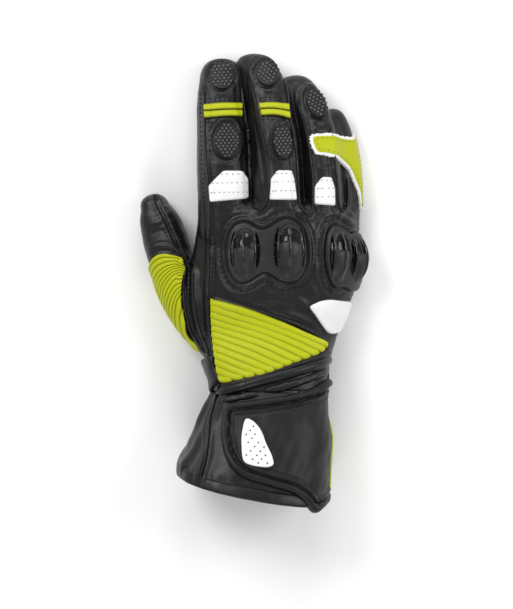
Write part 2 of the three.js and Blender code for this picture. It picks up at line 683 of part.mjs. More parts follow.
// Outside seams: narrow raised ribbons that run round the forks between the fingers.
const forkSeams = {
  seam_index_middle: {
    forms: ["hand", "index", "middle"],
    line: [
      [-10.9, 128], [-8.9, 111.7], [-6.2, 91.9], [-5.2, 72.2], [-4.4, 52.5], [-1.6, 47.2],
      [1.6, 45.4], [4.7, 47.2], [5.4, 52.5], [4.6, 62.3], [2.4, 82.1], [-2, 102],
    ],
  },
  seam_middle_ring: {
    forms: ["hand", "middle", "ring"],
    line: [
      [18.3, 121.5], [21.4, 103], [24.6, 84], [26.6, 52.5], [28.6, 45.9], [31.8, 43.4],
      [34.1, 47.1], [34.2, 54], [34, 67.3], [31.4, 88],
    ],
  },
};
seamsAvoid.push(upright(bridgeOutline, SEAT_GAP));
const clearOfPanels = joined(seamsAvoid);
for (const [name, seam] of Object.entries(forkSeams)) {
  const band = upright(ribbon(rounded(seam.line, 18, false), SEAM_WIDTH), 0, [20, 110]);
  const ridge = band.intersect(skin(seam.forms, SEAT_GAP, SEAT_GAP + SEAM_RISE));
  add(name, ridge.subtract(all(stalls, SEAT_GAP)).subtract(clearOfPanels), leather);
}

// The origin lies on the surface, under the middle of the whole glove.
const extent = new THREE.Box3().setFromObject(glove);
const middle = extent.getCenter(new THREE.Vector3());
glove.position.set(-middle.x, -middle.y, -extent.min.z);

export default glove;
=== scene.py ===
# A right-hand leather racing glove, lying on its palm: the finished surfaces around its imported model.
import math

import bmesh
import bpy
import numpy as np
from bpy.props import FloatProperty, PointerProperty, StringProperty
from bpy.types import Operator, Panel, PropertyGroup
from mathutils import Matrix, Vector
from mathutils.bvhtree import BVHTree


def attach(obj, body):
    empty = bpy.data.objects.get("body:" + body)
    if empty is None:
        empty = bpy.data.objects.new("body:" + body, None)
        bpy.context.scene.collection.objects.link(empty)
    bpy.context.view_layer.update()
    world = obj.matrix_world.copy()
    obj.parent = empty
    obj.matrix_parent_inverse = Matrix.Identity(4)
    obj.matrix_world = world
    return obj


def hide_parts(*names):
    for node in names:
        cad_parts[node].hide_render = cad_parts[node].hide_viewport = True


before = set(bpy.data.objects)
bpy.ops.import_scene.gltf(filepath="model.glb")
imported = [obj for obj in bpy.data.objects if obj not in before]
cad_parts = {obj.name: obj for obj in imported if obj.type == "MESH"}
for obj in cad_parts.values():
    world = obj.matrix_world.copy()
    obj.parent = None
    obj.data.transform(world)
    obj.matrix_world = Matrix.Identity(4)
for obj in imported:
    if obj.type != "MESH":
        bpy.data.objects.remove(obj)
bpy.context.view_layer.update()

bl_info = {
    "name": "Racing glove",
    "version": (1, 0, 0),
    "blender": (4, 5, 0),
    "location": "3D View > Sidebar > Glove",
    "description": "Builds the leather, guards, ribs, pads and stitching of a racing glove",
    "category": "Add Mesh",
}

# The glove is drawn in millimetres on the plan it was measured on, and then moved to the frame.
MM = 0.001
PLAN_TO_FRAME = Vector((0.5824, -0.8279, 0.0))  # mm
IMAGE_SIZE = (513, 609)
MM_PER_PIXEL = 0.62
IMAGE_CENTRE = (256.5, 284.0)  # the pixel over the plan's origin

# Numbers read off smooth rows


def between(p, q, r, s, f):
    """The smooth curve from q to r at share f, where p lies before them and s after."""
    m0, m1 = (r - p) / 2, (s - q) / 2
    return q + m0 * f + (3 * (r - q) - 2 * m0 - m1) * f**2 + (2 * (q - r) + m0 + m1) * f**3


class Sections:
    """Rows of named columns, read smoothly at any position between them."""

    def __init__(self, names, rows):
        self.names = names.split()
        self.rows = np.array(rows, float)

    def at(self, t):
        t = np.asarray(t, float)
        last = len(self.rows) - 1
        i = np.clip(np.floor(t).astype(int), 0, last - 1)
        f = (t - i)[..., None]
        read = between(*(self.rows[np.clip(i + k, 0, last)] for k in (-1, 0, 1, 2)), f)
        return dict(zip(self.names, np.moveaxis(read, -1, 0)))


# The hand and the cuff: where each section lies, its half sizes, how far its two sides drop, and how
# it slants and leans along the glove
SLEEVE = "y x half_width half_height z drop_left drop_right slant lean"
# A finger: where each section lies, its half sizes and its roll in degrees. Each finger also has the
# length of its rounded tip, in mm, and how far that tip leans sideways.
STALL = "y x z half_width half_height roll"

HAND = Sections(SLEEVE, [
    [-67, 7.5, 34.5, 23, 31.5, 1, 2, 0, 0],
    [-60, 8, 35, 23, 30.5, 2, 3, 0, 0],
    [-46, 6.2, 38.3, 23, 28, 5, 7, 0, 0],
    [-30, 3.2, 44.7, 22.8, 22, 8, 12, 0, 0],
    [-12, 4.6, 50.1, 21, 26, 10, 18, 0, 0],
    [8, 9.8, 51.3, 19.5, 29, 9, 25, 0, 0],
    [30, 12, 49, 17, 31, 7, 27, 0, 0],
    [44, 12.8, 48.5, 14.5, 31.5, 7, 27, 0, 0],
    [49, 12.8, 46, 11, 31.5, 7, 25, 0, 0],
])
CUFF = Sections(SLEEVE, [
    [-67.3, 7.5, 34.5, 23, 31.5, 1, 2, 0, 0],
    [-76, 5, 37.3, 26, 32.2, 0, 0, -0.03, -1],
    [-90, 3.3, 41.2, 29.5, 34, 0, 0, -0.07, -2.5],
    [-105, 0.2, 43.7, 33, 35, 0, 0, -0.12, -5],
    [-115, -2.4, 45.6, 35, 35.8, 0, 0, -0.16, -6.6],
    [-124, -3.6, 45.2, 35.7, 36.2, 0, 0, -0.19, -8],
])
STALLS = {
    "index_finger": (13.4, Sections(STALL, [
        [28, -20, 29, 15.5, 13.5, 6],
        [45, -20.4, 29.5, 16, 13.8, 8],
        [72, -21, 28.5, 16, 13.8, 8],
        [92, -21.5, 24.5, 15.2, 13.2, 9],
        [112, -22.4, 17, 14.5, 12.5, 9],
        [127, -22.1, 11.6, 13, 11.5, 8],
    ]), 2.2),
    "middle_finger": (15, Sections(STALL, [
        [28, 12.8, 32, 15, 14, 8],
        [45, 13.2, 32.5, 15.6, 14, 10],
        [72, 12.2, 31.5, 15.4, 14, 12],
        [92, 10.4, 28, 14.8, 13.5, 13],
        [112, 7.1, 20, 14.2, 12.8, 13],
        [129, 1.6, 12.6, 12.8, 12, 13],
    ]), -6),
    "ring_finger": (13, Sections(STALL, [
        [28, 40, 26.5, 12, 12, 20],
        [45, 40.8, 26.5, 12.8, 12.5, 22],
        [72, 39.2, 25.5, 12.6, 12.4, 22],
        [92, 36.8, 22, 12.4, 12, 22],
        [108, 32, 16.5, 11.8, 11.5, 22],
        [118, 26.8, 11.3, 10.8, 11, 22],
    ]), -6),
    "little_finger": (10, Sections(STALL, [
        [28, 53.2, 13, 10, 10, 40],
        [45, 53.6, 12, 10.2, 10.2, 42],
        [60, 53.8, 11.2, 10, 10.2, 44],
        [75, 52.8, 10.6, 9.8, 10, 45],
        [90, 50, 10, 9.6, 9.8, 45],
        [99, 47.2, 9.4, 8.8, 9.4, 45],
    ])),
    "thumb": (8, Sections(STALL, [
        [-34, -24, 19, 13, 14, -20],
        [-22, -34.6, 17, 13.2, 15, -20],
        [-6, -44.8, 15.8, 13.2, 15.5, -20],
        [10, -51.2, 15, 12.8, 15, -20],
        [26, -56, 14, 13.6, 14, -20],
        [40, -60.6, 12.8, 11.6, 12.8, -20],
        [48, -63, 11.8, 8.0, 11.4, -20],
    ])),
}
CUFF_LEVEL = 1.5  # mm, how high the folded hem holds the cuff's leather
WALL = 2.2  # mm, lined leather


def signed_power(c, power):
    return np.sign(c) * np.abs(c) ** power


def bell(x, width):
    """A smooth bump of height 1 about x = 0."""
    return np.exp(-((x / width) ** 2))


def ramp(x, low, high):
    """Goes from 0 at low to 1 at high."""
    return np.clip((x - low) / (high - low), 0, 1)


def stacked(x, y, z):
    return np.stack(np.broadcast_arrays(x, y, z), -1).astype(float)


def unit(v):
    return v / np.maximum(np.linalg.norm(v, axis=-1, keepdims=True), 1e-9)


def sleeve_point(sections, t, angle, grow=0.0, level=0.0):
    """A point of the hand's or cuff's section: a squared oval bent along its dropping mid-line."""
    row = sections.at(t)
    across = (row["half_width"] + grow) * signed_power(np.cos(angle), 0.8)
    out = (row["half_height"] + grow) * signed_power(np.sin(angle), 0.85)
    share = across / row["half_width"]
    left = share < 0
    drop = np.where(left, row["drop_left"], row["drop_right"])
    power = np.where(left, 2.0, 2.5)
    near = np.minimum(np.abs(share), 1)
    slope = -np.sign(share) * drop * power * near ** (power - 1) / row["half_width"]
    fall = drop * (near**power + power * (np.abs(share) - near))
    length = np.hypot(slope, 1)
    x = row["x"] + across - out * slope / length
    y = row["y"] + row["slant"] * across + row["lean"] * out / row["half_height"]
    z = np.maximum(row["z"] - fall + out / length, level - grow)
    return stacked(x, y, z)


def stall_point(stall, t, angle, grow=0.0):
    """A point of a finger: t runs along its rows, and one more unit of t rounds its tip off, which
    leans sideways."""
    tip, sections, lean = (*stall, 0)[:3]
    last = len(sections.rows) - 1
    on_rows = np.minimum(t, last)
    row = sections.at(on_rows)
    ends = [sections.at(np.clip(on_rows + d, 0, last - 0.05)) for d in (-0.12, 0.12)]
    before, after = (stacked(e["x"], e["y"], e["z"]) for e in ends)
    along = unit(after - before)
    turn = np.clip(t - last, 0, 1) * math.pi / 2
    scale = np.cos(turn) ** 0.8
    level = unit(np.cross(along, [0, 0, 1.0]))
    upright = np.cross(level, along)
    roll = np.radians(row["roll"])[..., None]
    width = level * np.cos(roll) - upright * np.sin(roll)
    height = upright * np.cos(roll) + level * np.sin(roll)
    across = (row["half_width"] + grow) * scale * signed_power(np.cos(angle), 0.82)
    up = (row["half_height"] + grow) * scale * signed_power(np.sin(angle), 0.82)
    centre = stacked(row["x"], row["y"], row["z"]) + along * ((tip + grow) * np.sin(turn))[..., None]
    centre = centre + width * (lean * (1 - np.cos(turn)))[..., None]
    point = centre + width * across[..., None] + height * up[..., None]
    point[..., 2] = np.maximum(point[..., 2], -grow)
    return point


# Shapes made of one ball or one grid


def bent_ball(around, along, place):
    """A closed ball of quads whose points go where place(turn, share) says. turn runs round it from
    0 to 1, and share from pole to pole."""
    bm = bmesh.new()
    bmesh.ops.create_uvsphere(bm, u_segments=around, v_segments=along, radius=1)
    co = np.array([v.co for v in bm.verts])
    turn = np.round(np.arctan2(co[:, 1], co[:, 0]) / (2 * math.pi) * around) / around % 1
    share = np.round(np.arccos(np.clip(-co[:, 2], -1, 1)) / math.pi * along) / along
    for v, p in zip(bm.verts, place(turn, share)):
        v.co = p
    bmesh.ops.recalc_face_normals(bm, faces=bm.faces)
    return bm


def bent_sheet(across, along, place, thickness=None, paint=None):
    """A grid whose points go where place(u, v) says, both from 0 to 1, with a wall on its far side.
    paint(u, v) gives each point's tint, which its material reads."""
    bm = bmesh.new()
    bmesh.ops.create_grid(bm, x_segments=across, y_segments=along, size=0.5)
    co = np.array([v.co for v in bm.verts])
    u, w = np.clip(co[:, 0] + 0.5, 0, 1), np.clip(co[:, 1] + 0.5, 0, 1)
    for v, p in zip(bm.verts, place(u, w)):
        v.co = p
    if paint:
        layer = bm.verts.layers.float.new("tint")
        for v, share in zip(bm.verts, paint(u, w)):
            v[layer] = share
    bmesh.ops.remove_doubles(bm, verts=bm.verts, dist=1e-4)
    if thickness:
        walled(bm, thickness)
    return bm


def walled(bm, thickness):
    """Gives an open surface a wall behind its faces, closed along its rims."""
    bm.normal_update()
    made = bmesh.ops.extrude_face_region(bm, geom=bm.faces[:], use_keep_orig=True)["geom"]
    made = [v for v in made if isinstance(v, bmesh.types.BMVert)]
    for v in made:
        v.co -= v.normal * thickness
    bmesh.ops.recalc_face_normals(bm, faces=bm.faces)
    return made


def joined(parts):
    """Several bmeshes as one."""
    whole = bmesh.new()
    for bm in parts:
        mesh = bpy.data.meshes.new("part")
        bm.to_mesh(mesh)
        bm.free()
        whole.from_mesh(mesh)
        bpy.data.meshes.remove(mesh)
    return whole


def finished(name, bm, material, replaces=(), sharp=50):
    """Makes a bmesh drawn in plan millimetres a finished piece in the frame."""
    bmesh.ops.scale(bm, vec=(MM, MM, MM), verts=bm.verts)
    bmesh.ops.translate(bm, vec=PLAN_TO_FRAME * MM, verts=bm.verts)
    mesh = bpy.data.meshes.new(name)
    bm.to_mesh(mesh)
    bm.free()
    mesh.shade_smooth()
    mesh.set_sharp_from_angle(angle=math.radians(sharp))
    if "facing" in mesh.attributes:
        facing = np.zeros(len(mesh.vertices) * 3)
        mesh.attributes["facing"].data.foreach_get("vector", facing)
        mesh.attributes.remove(mesh.attributes["facing"])
        mesh.normals_split_custom_set_from_vertices(facing.reshape(-1, 3))
    mesh.materials.append(material)
    piece = bpy.data.objects.new(name, mesh)
    bpy.context.scene.collection.objects.link(piece)
    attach(piece, "root")
    if replaces:
        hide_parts(*replaces)


# Lines and outlines seen from above


def running_length(line):
    """How far along a line each of its points lies."""
    return np.concatenate([[0], np.cumsum(np.linalg.norm(np.diff(line, axis=0), axis=1))])


def smooth_line(points, count, closed=False):
    """Evenly spaced points along a smooth line through a few given ones."""
    p = np.array(points, float)
    n = len(p)
    fine = []
    spans = n if closed else n - 1
    for i in range(spans):
        ids = [(i + k) % n if closed else min(max(i + k, 0), n - 1) for k in (-1, 0, 1, 2)]
        fine.append(between(*p[ids], np.linspace(0, 1, 16, endpoint=False)[:, None]))
    fine = np.concatenate(fine + [p[:1] if closed else p[-1:]])
    run = running_length(fine)
    stops = np.linspace(0, run[-1], count + 1 if closed else count)
    even = np.stack([np.interp(stops, run, fine[:, k]) for k in range(fine.shape[1])], -1)
    return even[:-1] if closed else even


def outward(line, closed=True):
    """Unit directions square to a plan line, to its right as it runs."""
    ahead = (np.roll(line, -1, 0) - np.roll(line, 1, 0)) if closed else np.gradient(line, axis=0)
    ahead = unit(ahead[:, :2])
    return np.stack([ahead[:, 1], -ahead[:, 0]], -1)


def anticlockwise(points):
    p = np.array(points, float)
    x, y = p[:, 0], p[:, 1]
    area = np.sum(x * np.roll(y, -1) - y * np.roll(x, -1))
    return p if area > 0 else p[::-1]


def distance_to(points, line, closed=False):
    """The distance of plan points from a line, the share along it, and the side they lie on."""
    line = np.array(line, float)[:, :2]
    if closed:
        line = np.concatenate([line, line[:1]])
    best = np.full(len(points), 1e9)
    share = np.zeros(len(points))
    side = np.zeros(len(points))
    runs = running_length(line)
    for i, (a, b) in enumerate(zip(line, line[1:])):
        ab = b - a
        f = np.clip(((points - a) @ ab) / max(ab @ ab, 1e-12), 0, 1)
        gap = points - (a + f[:, None] * ab)
        d = np.hypot(gap[:, 0], gap[:, 1])
        closer = d < best
        best = np.where(closer, d, best)
        share = np.where(closer, (runs[i] + f * (runs[i + 1] - runs[i])) / runs[-1], share)
        side = np.where(closer, np.sign(ab[0] * gap[:, 1] - ab[1] * gap[:, 0]), side)
    return best, share, side


# The leather body: one skin over the hand, the fingers and the thumb

VOXEL = 0.66  # mm
HAND_END = 7.45  # rows of the hand's table before its front rounds off between the fingers
WRIST_Y = -67.0


def hand_ball(turn, share):
    """The hand's sleeve with a flat wrist end and a rounded front."""
    angle = 2 * math.pi * turn
    t = ramp(share, 0.05, 0.92) * HAND_END
    point = sleeve_point(HAND, t, angle)
    row = HAND.at(t)
    centre = stacked(row["x"], row["y"], row["z"])
    back = np.minimum(share / 0.05, 1)
    front = ramp(share, 0.92, 1) * math.pi / 2
    point = centre + (point - centre) * (back * np.cos(front) ** 0.7)[:, None]
    point[:, 1] += 4.5 * np.sin(front)
    return point


def stall_ball(name):
    """A finger's stall with a flat root, which lies inside the hand."""
    stall = STALLS[name]
    last = len(stall[1].rows) - 1

    def place(turn, share):
        t = ramp(share, 0.04, 0.8) * last + ramp(share, 0.8, 1)
        point = stall_point(stall, t, 2 * math.pi * turn)
        row = stall[1].at(np.minimum(t, last))
        centre = stacked(row["x"], row["y"], row["z"])
        root = np.minimum(share / 0.04, 1)[:, None]
        return centre + (point - centre) * root if root.min() < 1 else point

    return bent_ball(72, 150, place)


class Skin:
    """A surface held as arrays, so that its points can be worked on together."""

    def __init__(self, mesh):
        self.co = np.zeros(len(mesh.vertices) * 3)
        mesh.vertices.foreach_get("co", self.co)
        self.co = self.co.reshape(-1, 3)
        faces = [tuple(p.vertices) for p in mesh.polygons]
        self.quads = np.array([f if len(f) == 4 else (*f, f[-1]) for f in faces])
        edges = np.zeros(len(mesh.edges) * 2, int)
        mesh.edges.foreach_get("vertices", edges)
        self.edges = edges.reshape(-1, 2)
        self.source = mesh

    def normals(self):
        a, b, c, d = (self.co[self.quads[:, k]] for k in range(4))
        face = np.cross(c - a, d - b)
        total = np.zeros_like(self.co)
        for k in range(4):
            for axis in range(3):
                total[:, axis] += np.bincount(self.quads[:, k], face[:, axis], len(self.co))
        return unit(total)

    def smoothed(self, values, rounds, strength=0.5):
        """Values held at the points, averaged with their neighbours'."""
        i, j = self.edges[:, 0], self.edges[:, 1]
        count = np.bincount(i, minlength=len(values)) + np.bincount(j, minlength=len(values))
        for _ in range(rounds):
            total = np.zeros_like(values)
            for axis in range(3):
                total[:, axis] = np.bincount(i, values[j, axis], len(values))
                total[:, axis] += np.bincount(j, values[i, axis], len(values))
            values = values + (total / np.maximum(count, 1)[:, None] - values) * strength
        return values

    def mesh(self):
        """A mesh of the skin as it is now."""
        made = self.source.copy()
        made.vertices.foreach_set("co", self.co.ravel())
        return made


def remeshed(bm, voxel):
    """A closed skin over everything that a bmesh of overlapping balls holds."""
    mesh = bpy.data.meshes.new("balls")
    bm.to_mesh(mesh)
    bm.free()
    obj = bpy.data.objects.new("balls", mesh)
    bpy.context.scene.collection.objects.link(obj)
    remesh = obj.modifiers.new("skin", "REMESH")
    remesh.mode = "VOXEL"
    remesh.voxel_size = voxel
    remesh.adaptivity = 0
    evaluated = obj.evaluated_get(bpy.context.evaluated_depsgraph_get())
    whole = bpy.data.meshes.new_from_object(evaluated)
    bpy.data.objects.remove(obj)
    bpy.data.meshes.remove(mesh)
    return Skin(whole)


# Where the panels and seams lie on the plan, in millimetres. A third number carries a point that far
# round past the edge that is seen from above.
GUARD_INDEX_MIDDLE = [
    (-9, 38.2), (-13.4, 36.2), (-16.6, 31.5), (-18, 24.7), (-18, 16.1), (-16.8, 9.2), (-14, 3),
    (-9.6, 0.3), (-4, 1.6), (1, 4.8), (5.4, 6.7), (9.5, 5), (14.2, 2), (19.3, 0.6), (25.4, 2),
    (29.4, 7), (31, 14), (31, 23), (29.4, 31.4), (25.4, 37.5), (18.8, 40.4), (12.8, 38.6),
    (8, 35.3), (3.2, 33.8), (-1, 35.4), (-4.6, 37.6),
]
GUARD_RING_LITTLE = [
    (46.6, 36.2), (43.6, 30), (42.6, 21), (43, 12), (45.2, 3), (48.6, -2.2), (53.6, -2),
    (58.6, -4.6), (63.2, -2.6, 1), (68, 4.8, 3), (70.6, 13.6, 4), (70, 21, 3), (66.4, 28.5, 1), (61.8, 32.8),
    (57.6, 31.2), (54.4, 33.6), (50.4, 36),
]
ROOT_PANELS = {
    "index_root_panel": [
        (-20.6, 70.1), (-9.2, 70.1), (-5.8, 65.3), (-5.5, 52.9), (-29, 50.7), (-29.8, 60.8),
    ],
    "middle_root_panel": [(13, 70.4), (21.4, 70.2), (23.4, 65.3), (25, 52), (7.9, 52.1), (8.6, 64.8)],
    "ring_root_panel": [(40.7, 66.3), (46.6, 66.1), (48.6, 59.3), (48.9, 48.5), (35.8, 49.3), (36, 60.5)],
}
# The lower and the upper edge of each band
STRETCH_BANDS = {
    "index_stretch_band": (
        [(-32.3, 102.2), (-21, 103.2), (-9.1, 103.4)],
        [(-32.5, 111.4), (-21, 112.2), (-9.3, 112.2)],
    ),
    "middle_stretch_band": (
        [(2.9, 103.8), (11.8, 104), (20.9, 101.8)],
        [(1.1, 112), (10, 112.4), (19.8, 111.6)],
    ),
}
# The centre of each pad, its half sizes and its lean in degrees
GRIP_PADS = {
    "index_tip_pad": ((-21.7, 128.8), (7.3, 8.2), 4),
    "index_joint_pad": ((-18.5, 88.6), (7.6, 10.8), 2),
    "middle_tip_pad": ((6.4, 130.4), (6.6, 8), 14),
    "middle_joint_pad": ((16, 88), (6, 9.8), 4),
    "ring_tip_pad": ((36.5, 111.7), (5.4, 9.4), 22),
}
SEAMS = {
    "index_outer": [
        (-32.4, 119), (-32.3, 112), (-31.9, 91.9), (-30.4, 62.3), (-29.4, 42.8), (-29.3, 14.9),
        (-30.4, -9.9), (-29.2, -34.7), (-24.8, -58.3),
    ],
    "fork_index_middle": [
        (-11.5, 134), (-9.6, 124), (-8.7, 111.7), (-5.6, 91.9), (-4.8, 72.2), (-3.8, 54), (-2.6, 48.4),
        (1.6, 45.5), (5.4, 48.4), (6.8, 54), (8.1, 62.3), (5.6, 82.1), (0.6, 106.8), (-2.6, 124),
    ],
    "fork_middle_ring": [
        (16.6, 127), (18.9, 119), (20.9, 101.9), (24.4, 82.1), (25.8, 60), (26.4, 50), (28.6, 45.3),
        (31.8, 43), (34.1, 46.1), (34.9, 52.5), (34.8, 67.3), (31.3, 91.9), (26.4, 111.7),
    ],
    "fork_ring_little": [
        (46, 97), (47.6, 84), (49.6, 67), (50.4, 56), (51.2, 49), (53.4, 44.6), (56, 47.6), (56.6, 56),
        (56, 66),
    ],
}
WEB_SEAMS = {
    "web_inner": [(-39.2, 8), (-39.4, 0), (-38.8, -10), (-36.4, -24), (-32.4, -36), (-29.6, -43)],
    "web_outer": [
        (-44.4, 9.4), (-45.2, 2), (-45.2, -8), (-43.4, -19), (-40.4, -29.6), (-35.2, -38.6), (-31.6, -43),
    ],
}
THUMB_SEAM = [(-62.4, 54), (-60.4, 48.6), (-57.1, 41.7), (-50.6, 26.6), (-44.6, 15.6), (-41, 11)]
GUSSET = [
    (-22.6, -61.1), (-25, -69.6), (-27.3, -78.1), (-28.8, -85.9), (-30.4, -102.9), (-33.5, -115.3),
    (-35.6, -125),
]


def guard_outlines():
    outlines = (GUARD_INDEX_MIDDLE, [p[:2] for p in GUARD_RING_LITTLE])
    return [smooth_line(anticlockwise(o), 90, closed=True) for o in outlines]


def wrinkle(points, line, width):
    """How strongly a soft fold along a line shows at each plan point, tapering to its ends."""
    d, share, _ = distance_to(points, line)
    return bell(d, width) * np.sin(np.pi * share) ** 0.6


def noise_field(points, scale, seed):
    """A smooth, seeded wave field between -1 and 1, with waves about as long as scale."""
    draw = np.random.default_rng(seed)
    total = np.zeros(points.shape[:-1])
    for _ in range(9):
        direction = unit(draw.normal(size=3))
        phase = draw.uniform(0, 2 * math.pi)
        length = scale * draw.uniform(0.7, 1.6)
        total += np.sin(points @ direction * 2 * math.pi / length + phase)
    return total / 4.2


# Soft folds of the leather: where each runs, its width and how far it stands up or sinks in
FOLDS = [
    ([(-67, 24), (-60, 27.5), (-53, 26)], 1.1, 0.7),
    ([(-68, 20.5), (-61, 23.6), (-52, 22.6), (-46.5, 18)], 1.2, 0.9),
    ([(-67.5, 17), (-61.6, 20.4), (-53, 20.4), (-45.4, 15)], 0.9, -0.9),
    ([(-66, 30), (-60, 33), (-55.6, 31)], 1.3, -0.6),
    ([(-68, 36), (-63, 38), (-59, 37)], 1.4, 0.5),
    ([(-55, 31), (-50, 27), (-44, 27)], 1.2, 0.7),
    ([(-53, 26), (-48, 22.6), (-42.6, 22)], 1.0, -0.7),
    ([(-51, 21), (-47, 18), (-42, 17.4)], 1.1, 0.8),
    ([(-30, 83), (-22, 78.4), (-12, 79)], 1.6, -0.5),
    ([(-31, 98), (-24, 101), (-14, 100.6)], 1.8, -0.5),
    ([(-27, 75), (-20, 73.4), (-10, 73.4)], 1.0, 0.5),
    ([(10, 81), (15, 77.6), (23, 78.6)], 1.4, -0.5),
    ([(9, 97), (14, 100), (21, 98)], 1.4, -0.4),
    ([(35, 74), (41, 71.6), (48, 73)], 1.4, 0.6),
    ([(33, 97), (38, 95.6), (44, 96.6)], 1.2, 0.5),
    ([(33, 102), (38, 104), (43, 101)], 1.3, -0.5),
    ([(48, 45), (54, 41), (63, 35.6)], 1.2, 0.9),
    ([(47, 42), (52, 38.4), (59, 35.4)], 0.9, -0.9),
    ([(52, 47), (58, 42.6), (65, 38.6)], 1.1, -0.7),
    ([(56, 45.6), (60.4, 42), (65, 41)], 1.0, 0.8),
    ([(-24, -1.6), (-8, -8), (10, -11.6), (24, -15)], 2.4, 0.8),
    ([(-14, -5.6), (2, -9.6), (18, -10)], 1.5, -0.7),
    ([(6, -14.6), (20, -18.6), (34, -24.4)], 2.0, 0.7),
    ([(16, -8), (27, -10), (36, -20)], 2.0, 0.5),
    ([(22, -21), (33, -27), (42, -35.4)], 1.3, -0.5),
    ([(34, 0), (36, -8), (33, -13)], 2.0, 0.5),
    ([(-33.6, 50), (-34, 20), (-34.6, 0), (-32.4, -20), (-27.6, -40)], 2.2, -1.1),
    ([(-41.4, 4), (-41.8, -10), (-39, -24), (-34, -36)], 1.8, 0.8),
    ([(-25, 49), (-14, 45.6), (-8, 46)], 1.6, 0.5),
    ([(8, 46), (16, 47.4), (24, 44.6)], 1.4, -0.4),
    ([(34, 41), (37, 30), (36, 14)], 1.8, -0.5),
    ([(38.6, 38), (39.6, 22), (38.6, 4)], 1.5, 0.5),
    ([(-31, 117), (-30.4, 127), (-26, 136.5), (-20, 139), (-14, 136), (-11.6, 127), (-11, 117)], 1.1, 0.6),
    ([(-3, 121), (-4.6, 131), (-3, 139), (3, 143), (9.6, 140.6), (14.4, 131), (16, 120)], 1.1, 0.6),
    ([(24.6, 116), (26, 122), (32, 123.6), (39, 118), (43.4, 107)], 1.0, 0.5),
    ([(-31, 99), (-28.6, 90), (-27.6, 80), (-28, 72)], 1.4, 0.5),
    ([(6.4, 98), (8.8, 88), (9.8, 78), (10, 71)], 1.4, 0.5),
]


def shape_leather(skin):
    """Carves the fork valleys, the raised surrounds of the guards, seam ridges and soft folds."""
    co, normal = skin.co, skin.normals()
    plan = co[:, :2]
    upper = ramp(normal[:, 2], 0.05, 0.55)
    move = 0.35 * noise_field(co, 26, 7) * ramp(co[:, 2], 2, 12)
    move += 0.12 * noise_field(co, 10, 3) * ramp(co[:, 2], 2, 12)
    for outline in guard_outlines():
        d, _, side = distance_to(plan, outline, closed=True)
        outside = np.where(side < 0, d, -d)
        ring = 1.2 * bell(outside - 2.0, 1.3) - 0.35 * bell(outside - 4.4, 1.3)
        ring += 0.4 * bell(outside - 6.8, 1.6)
        move += ring * upper
    for name, line in SEAMS.items():
        d, share, _ = distance_to(plan, smooth_line(line, 60))
        ends = np.clip(12 * share, 0, 1) * np.clip(12 * (1 - share), 0, 1)
        height = 0.9 if name.startswith("fork") else 0.75
        move += (height * bell(d, 1.7) - 0.5 * bell(d - 3.4, 1.2)) * upper * ends
    for line in WEB_SEAMS.values():
        d, share, _ = distance_to(plan, smooth_line(line, 40))
        move += (0.8 * bell(d, 1.6) - 0.4 * bell(d - 3.2, 1.2)) * ramp(normal[:, 2], -0.4, 0.2)
    d, share, side = distance_to(plan, smooth_line(THUMB_SEAM, 40))
    gathers = 0.22 * np.sin(share * 95 + side + 4 * np.sin(share * 11)) * bell(d - 3.6, 2.4)
    move += (gathers - 1.9 * bell(d, 0.9) + 0.8 * bell(d - 1.9, 1.1)) * upper
    for centre, half, lean in GRIP_PADS.values():
        d, _, side = distance_to(plan, oval(centre, half, lean, 40), closed=True)
        outside = np.where(side < 0, d, -d)
        move += (0.6 * bell(outside - 2.7, 1.3) - 0.35 * bell(outside - 0.7, 0.8)) * upper
    for line, width, height in FOLDS:
        move += height * wrinkle(plan, smooth_line(line, 24), width) * upper
    # The wrist swells into a padded roll below the triangle.
    foot = smooth_line([(-23, -64), (-7.4, -60.4), (14.8, -54.4), (33, -48), (45, -42)], 40)
    move += 1.6 * bell(distance_to(plan, foot)[0], 2.3) * upper
    skin.co = co + normal * (move * (co[:, 2] > 0.35))[:, None]
    skin.co[:, 2] = np.maximum(skin.co[:, 2], 0)


def leather_skin():
    """The whole skin, smoothed and shaped, with the directions that its shading follows."""
    parts = [bent_ball(120, 200, hand_ball)] + [stall_ball(name) for name in STALLS]
    skin = remeshed(joined(parts), VOXEL)
    skin.co = skin.smoothed(skin.co, 12)
    skin.co[:, 2] = np.maximum(skin.co[:, 2], 0)
    shape_leather(skin)
    skin.co = skin.smoothed(skin.co, 1, 0.4)
    skin.facing = unit(skin.smoothed(skin.normals(), 2))
    return skin


